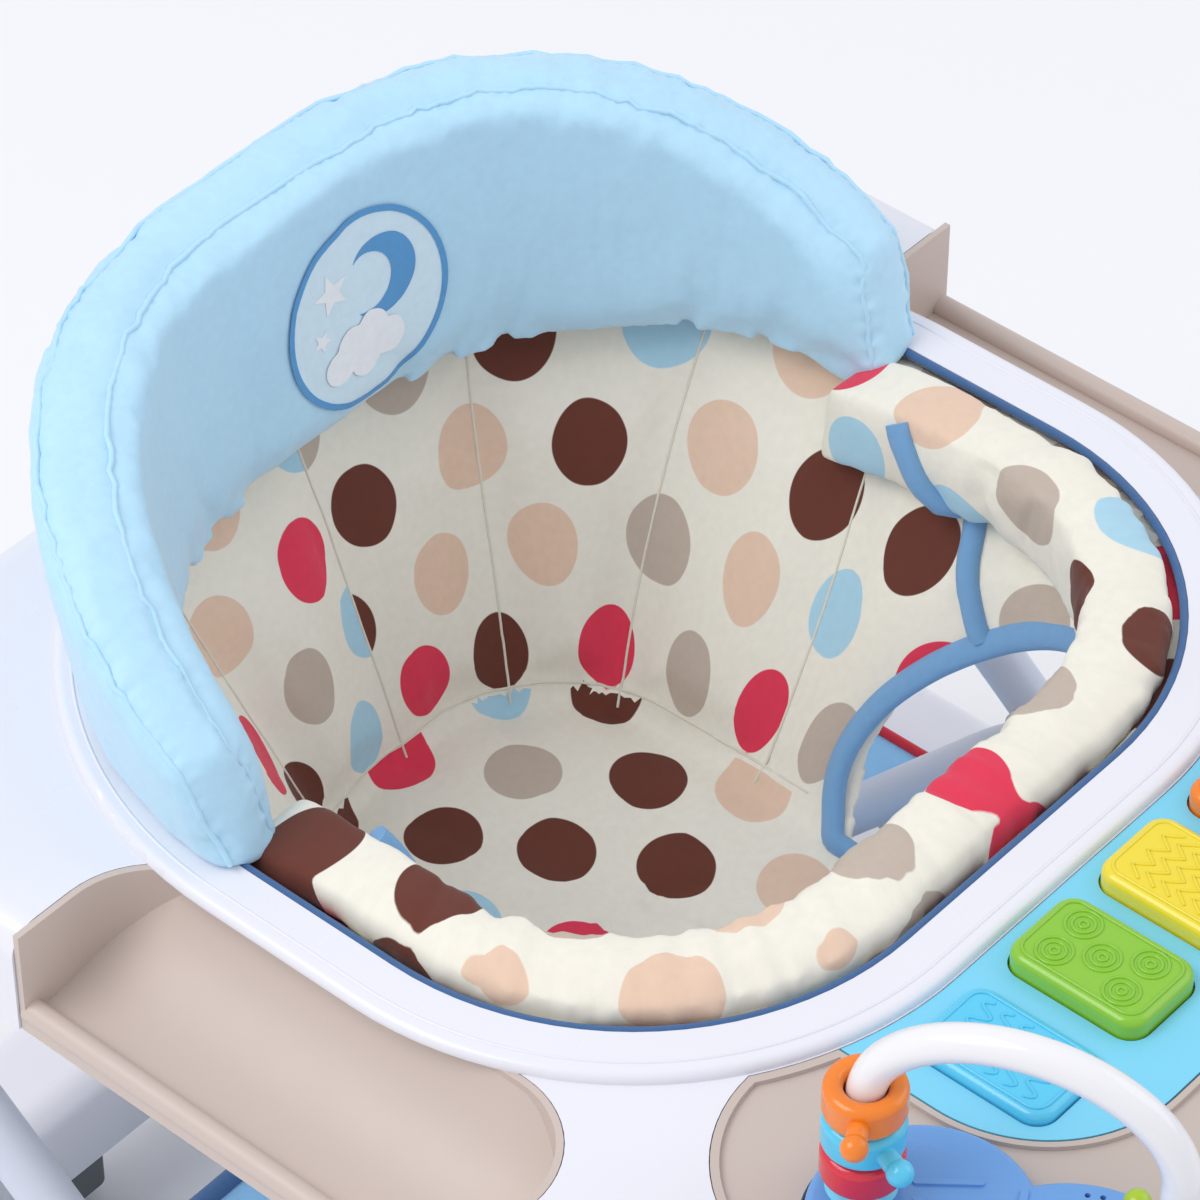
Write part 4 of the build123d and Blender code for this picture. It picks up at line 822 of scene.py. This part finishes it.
roll_piece = show("seat_roll_stuffed", roll_mesh, dot_cotton, "tray")
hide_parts("seat_roll")

# ---------------------------------------------------------------- leg-hole tape
# Folded tape over the cloth's cut edge, all round each leg hole, and up the side seam over the roll.
tape_wide, tape_thick, tape_points, profile_points = mm(6.0), mm(4.6), 72, 12
for side, side_name in ((-1, "right"), (1, "left")):
    axis = Vector((side * math.sin(hole_turn), -math.cos(hole_turn), 0))
    origin = at(0, 20, hole_z)
    sideways = Vector((0, 0, 1)).cross(axis)
    tape_line = []
    for i in range(tape_points):
        turn = 2 * math.pi * i / tape_points
        spoke = sideways * math.cos(turn) + Vector((0, 0, 1)) * math.sin(turn)
        hit = bucket_skin.ray_cast(origin + spoke * mm(hole_reach + 3.5), axis)[0]
        if hit:
            inner = (hit - origin).dot(axis)
            tape_line.append(spoke * mm(hole_reach + 1.0) + axis * (inner + mm(2.5)))
    to_local = Matrix((sideways, Vector((0, 0, 1)), axis)).transposed()
    path_curve = bpy.data.curves.new("tape_path", "CURVE")
    path_curve.dimensions = "3D"
    path_curve.twist_mode = "Z_UP"
    path_curve.resolution_u = 3
    spline = path_curve.splines.new("NURBS")
    spline.points.add(len(tape_line) - 1)
    for point, where in zip(spline.points, tape_line):
        point.co = (where.dot(sideways), where.z, where.dot(axis), 1)
    spline.use_cyclic_u = True
    spline.order_u = 4
    path_curve.bevel_depth = 1.0
    section = bpy.data.curves.new("tape_section", "CURVE")
    section.dimensions = "2D"
    ring_line = section.splines.new("NURBS")
    ring_line.points.add(profile_points - 1)
    for i, point in enumerate(ring_line.points):
        turn = 2 * math.pi * i / profile_points
        point.co = (tape_wide * math.cos(turn), tape_thick * math.sin(turn), 0, 1)
    ring_line.use_cyclic_u = True
    ring_line.order_u = 4
    section_holder = bpy.data.objects.new("tape_section", section)
    bpy.context.scene.collection.objects.link(section_holder)
    path_curve.bevel_mode = "OBJECT"
    path_curve.bevel_object = section_holder
    holder = bpy.data.objects.new("tape_path", path_curve)
    bpy.context.scene.collection.objects.link(holder)
    bpy.context.view_layer.update()
    tape_mesh = bpy.data.meshes.new_from_object(holder.evaluated_get(bpy.context.evaluated_depsgraph_get()))
    bpy.data.objects.remove(holder)
    bpy.data.objects.remove(section_holder)
    tape_mesh.transform(Matrix.Translation(origin) @ to_local.to_4x4())
    for face in tape_mesh.polygons:
        face.use_smooth = True
    show(f"leg_hole_tape_{side_name}", tape_mesh, sky_tape, "tray")
    edge_line = []
    seam_low, seam_high = mm(hole_z + 27), roll_high.z - mm(3)
    for i in range(25):
        share = i / 24
        turn = side * math.radians(60 + 22 * share)
        heading = Vector((math.sin(turn), -math.cos(turn), 0))
        start = Vector((0, mm(seat_back), seam_low + (seam_high - seam_low) * share))
        hits = [skin.ray_cast(start, heading) for skin in (sewn_skin, sewn_roll)]
        near = min((hit for hit in hits if hit[0]), key=lambda hit: hit[3], default=None)
        if near:
            edge_line.append(near[0] - heading * mm(1))
    show(f"side_seam_tape_{side_name}", cord_mesh(f"side_seam_tape_{side_name}", [edge_line], tape_thick),
         sky_tape, "tray")

# ---------------------------------------------------------------- key reliefs
# Fine raised lines moulded on the keys: a border on each, then waves, rings, zigzags or bars.
def key_frame(name):
    """A key's centre and top height in millimetres."""
    low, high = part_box(name)
    return (low.x + high.x) * 500, seat_back - (low.y + high.y) * 500, high.z * 1000


def rounded(half_x, half_ahead, corner, steps=8):
    """A rounded rectangle's corner points round the origin."""
    line = []
    for quarter, (sx, sy) in enumerate(((1, 1), (-1, 1), (-1, -1), (1, -1))):
        for i in range(steps + 1):
            turn = math.pi / 2 * (quarter + i / steps)
            line.append((sx * (half_x - corner) + corner * math.cos(turn),
                         sy * (half_ahead - corner) + corner * math.sin(turn)))
    return line


def ring_points(centre, radius, steps=28):
    """Points round a circle."""
    return [(centre[0] + radius * math.cos(2 * math.pi * i / steps),
             centre[1] + radius * math.sin(2 * math.pi * i / steps)) for i in range(steps)]


def wave_points(middle, swing, count, zigzag=False):
    """One line across the key that swings about a level."""
    line = []
    for i in range(count + 1):
        x = -13 + 26 * i / count
        phase = (x + 13) / 26 * 3
        rise = abs((phase * 2) % 2 - 1) * 2 - 1 if zigzag else math.sin(phase * 2 * math.pi)
        line.append((x, middle + swing * rise))
    return line


open_marks = {
    "key_blue": [wave_points(level, 3.2, 36) for level in (-16, -8, 0, 8, 16)],
    "key_yellow": [wave_points(level, 3.0, 24, True) for level in (-16, -9.6, -3.2, 3.2, 9.6, 16)],
    "key_orange": [[(x, -17), (x, 17)] for x in (-9, 9)]
                  + [wave_points(level, 2.4, 24) for level in (-10, 0, 10)],
}
ring_places = ((0, 0), (-8, 14), (8, 14), (-8, -14), (8, -14))
closed_marks = {"key_green": [ring_points(centre, radius) for centre in ring_places
                              for radius in (1.6, 4.0, 6.3)]}
ridge = mm(0.62)
for name in key_colours:
    middle_x, middle_ahead, top = key_frame(name)
    loops = [rounded(15.6, 24.6, 5.5)] + closed_marks.get(name, [])
    joined = bmesh.new()
    for ending, marks, closed in (("_loops", loops, True), ("_lines", open_marks.get(name, []), False)):
        lines = [[at(middle_x + x, middle_ahead + ahead, top + 0.05) for x, ahead in mark] for mark in marks]
        if lines:
            joined.from_mesh(cord_mesh(name + ending, lines, ridge, closed=closed, sides=4))
    relief_mesh = bpy.data.meshes.new(name + "_relief")
    joined.to_mesh(relief_mesh)
    joined.free()
    for face in relief_mesh.polygons:
        face.use_smooth = True
    show(name + "_relief", relief_mesh, key_plastics[name], name + "_body")

# ---------------------------------------------------------------- castor tyres
# A soft grooved tread band on each wheel.
for number in range(1, 7):
    low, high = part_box(f"castor_wheel_{number}")
    centre = (low + high) / 2
    tread = bmesh.new()
    radius = (high.z - low.z) / 2
    for x, r in ((-5.4, -0.7), (-4.6, 0.25), (-1.6, 0.35), (-1.0, -0.3), (1.0, -0.3), (1.6, 0.35), (4.6, 0.25),
                 (5.4, -0.7)):
        tread.verts.new((centre.x + mm(x), centre.y, centre.z + radius + mm(r) - mm(0.35)))
    tread.verts.ensure_lookup_table()
    rims = [tread.edges.new((a, b)) for a, b in zip(tread.verts[:-1], tread.verts[1:])]
    rims.append(tread.edges.new((tread.verts[-1], tread.verts[0])))
    bmesh.ops.spin(tread, geom=tread.verts[:] + rims, cent=centre, axis=(1, 0, 0), angle=2 * math.pi, steps=48,
                   use_merge=True, use_duplicate=False)
    bmesh.ops.remove_doubles(tread, verts=tread.verts, dist=1e-6)
    bmesh.ops.recalc_face_normals(tread, faces=tread.faces)
    tread_mesh = bpy.data.meshes.new(f"castor_tread_{number}")
    tread.to_mesh(tread_mesh)
    tread.free()
    show(f"castor_tread_{number}", tread_mesh, stop_rubber, f"wheel_{number}")

# ---------------------------------------------------------------- tube plugs
# Domed plastic plugs pressed into the lower ends of both leg tubes.
slope = math.radians(49)
cross_ahead, cross_height, arm_to_end, dome_radius = 25, 188.066, 162 + 12, 10.2
for body, tube_x, toward in (("rear_leg", 217, 1), ("front_leg", 240, -1)):
    plug = bmesh.new()
    end_reach = arm_to_end * math.cos(slope)
    end_drop = arm_to_end * math.sin(slope)
    for side in (-1, 1):
        down_tube = Vector((0, toward * math.cos(slope), -math.sin(slope)))
        end = at(side * tube_x, cross_ahead - toward * end_reach, cross_height - end_drop)
        turn = down_tube.to_track_quat("Z", "Y").to_matrix().to_4x4()
        dome = bmesh.new()
        bmesh.ops.create_uvsphere(dome, u_segments=28, v_segments=14, radius=mm(dome_radius),
                                  matrix=Matrix.Translation(end) @ turn @ Matrix.Diagonal((1, 1, 0.42, 1)))
        bmesh.ops.bisect_plane(dome, geom=dome.verts[:] + dome.edges[:] + dome.faces[:], dist=1e-7,
                               plane_co=end, plane_no=down_tube, clear_inner=True)
        bmesh.ops.holes_fill(dome, edges=[e for e in dome.edges if e.is_boundary])
        piece_mesh = bpy.data.meshes.new("plug_half")
        dome.to_mesh(piece_mesh)
        dome.free()
        plug.from_mesh(piece_mesh)
        bpy.data.meshes.remove(piece_mesh)
    bmesh.ops.recalc_face_normals(plug, faces=plug.faces)
    plug_mesh = bpy.data.meshes.new(body + "_plugs")
    plug.to_mesh(plug_mesh)
    plug.free()
    for face in plug_mesh.polygons:
        face.use_smooth = len(face.vertices) < 6
    show(body + "_plugs", plug_mesh, white_plastic, body)

# ---------------------------------------------------------------- backrest badge
# A printed transfer on the pad's inner face: a pale round ground with a moon, a star and a cloud.
pad_skin = surface_of(pad_mesh)
badge_turn = math.radians(-190)
badge_z = 0.450
badge_grow = 1.03
badge_out = Vector((math.sin(badge_turn), -math.cos(badge_turn), 0))
badge_side = Vector((0, 0, 1)).cross(badge_out)


def on_pad(x, z, lift):
    """A place on the pad's inner face from sideways and upward millimetres, raised off the cloth."""
    start = Vector((0, mm(seat_back), badge_z + badge_grow * mm(z))) + badge_side * badge_grow * mm(x)
    hit, normal = pad_skin.ray_cast(start, badge_out)[:2]
    return hit + normal * mm(lift) if hit else start + badge_out * mm(150)


def transfer(name, outlines, lift, ink):
    """A flat shape with a fine even mesh, laid on the pad."""
    curve = bpy.data.curves.new(name, "CURVE")
    curve.dimensions = "2D"
    curve.fill_mode = "BOTH"
    for outline in outlines:
        spline = curve.splines.new("POLY")
        spline.points.add(len(outline) - 1)
        for point, (x, z) in zip(spline.points, outline):
            point.co = (x, z, 0, 1)
        spline.use_cyclic_u = True
    holder = bpy.data.objects.new(name + "_plan", curve)
    bpy.context.scene.collection.objects.link(holder)
    bpy.context.view_layer.update()
    flat = bpy.data.meshes.new_from_object(holder.evaluated_get(bpy.context.evaluated_depsgraph_get()))
    bpy.data.objects.remove(holder)
    sheet = bmesh.new()
    sheet.from_mesh(flat)
    bmesh.ops.remove_doubles(sheet, verts=sheet.verts, dist=1e-4)
    for axis in (0, 1):
        slice_up(sheet, axis, 2.5)
    for v in sheet.verts:
        v.co = on_pad(v.co.x, v.co.y, lift)
    bmesh.ops.recalc_face_normals(sheet, faces=sheet.faces)
    bmesh.ops.solidify(sheet, geom=sheet.faces[:], thickness=mm(0.15))
    mesh = bpy.data.meshes.new(name)
    sheet.to_mesh(mesh)
    sheet.free()
    return show(name, mesh, ink, "tray")


def star_points(centre, outer, inner, points=5, lean=0.2):
    """A star's outline, its points and notches in turn."""
    return [(centre[0] + (outer if i % 2 == 0 else inner) * math.sin(lean + math.pi * i / points),
             centre[1] + (outer if i % 2 == 0 else inner) * math.cos(lean + math.pi * i / points))
            for i in range(2 * points)]


def cloud_points(centre, size):
    """A cloud of five lobes: the outer line of overlapping circles."""
    lobes = [(-0.95, -0.1, 0.55), (-0.35, 0.35, 0.62), (0.4, 0.28, 0.58), (1.0, -0.12, 0.5), (0, -0.25, 0.6)]
    line = []
    for i in range(72):
        turn = 2 * math.pi * i / 72
        reach = 0
        for x, z, r in lobes:
            along = x * math.cos(turn) + z * math.sin(turn)
            across = -x * math.sin(turn) + z * math.cos(turn)
            if abs(across) < r:
                reach = max(reach, along + math.sqrt(r * r - across * across))
        line.append((centre[0] + size * reach * math.cos(turn), centre[1] + size * reach * math.sin(turn)))
    return line


def moon_points(centre, radius):
    """A crescent: most of a circle, and back along the arc that bites it."""
    outer = [(centre[0] + radius * math.cos(math.radians(40 + 280 * i / 40)),
              centre[1] + radius * math.sin(math.radians(40 + 280 * i / 40))) for i in range(41)]
    bite = (centre[0] + radius * 0.42, centre[1])
    start = math.atan2(outer[-1][1] - bite[1], outer[-1][0] - bite[0])
    stop = math.atan2(outer[0][1] - bite[1], outer[0][0] - bite[0])
    reach = math.hypot(outer[0][0] - bite[0], outer[0][1] - bite[1])
    turn = (start - stop) % (2 * math.pi)
    inner = [(bite[0] + reach * math.cos(start - turn * i / 30),
              bite[1] + reach * math.sin(start - turn * i / 30)) for i in range(1, 30)]
    return outer + inner


ink_pale, _, _, _ = cloth("badge_pale_ink", (0.66, 0.83, 0.93), 0.6, 2600.0, 0.12, 0.0, 0.1)
ink_blue, _, _, _ = cloth("badge_blue_ink", (0.105, 0.330, 0.640), 0.6, 2600.0, 0.12, 0.0, 0.1)
ink_white, _, _, _ = cloth("badge_white_ink", (0.86, 0.89, 0.92), 0.6, 2600.0, 0.12, 0.0, 0.1)
transfer("badge_ground", [ring_points((0, 0), 36, 64)], 0.7, ink_pale)
transfer("badge_ring", [ring_points((0, 0), 38, 64), ring_points((0, 0), 35.6, 64)], 1.0, ink_blue)
transfer("badge_moon", [moon_points((-9, 9), 16)], 1.0, ink_blue)
transfer("badge_star", [star_points((15, 14), 8.5, 3.6)], 1.0, ink_white)
transfer("badge_star_small", [star_points((22, -2), 4.6, 2.0, 5, 0.7)], 1.0, ink_white)
transfer("badge_cloud", [cloud_points((3, -15), 13)], 1.3, ink_white)
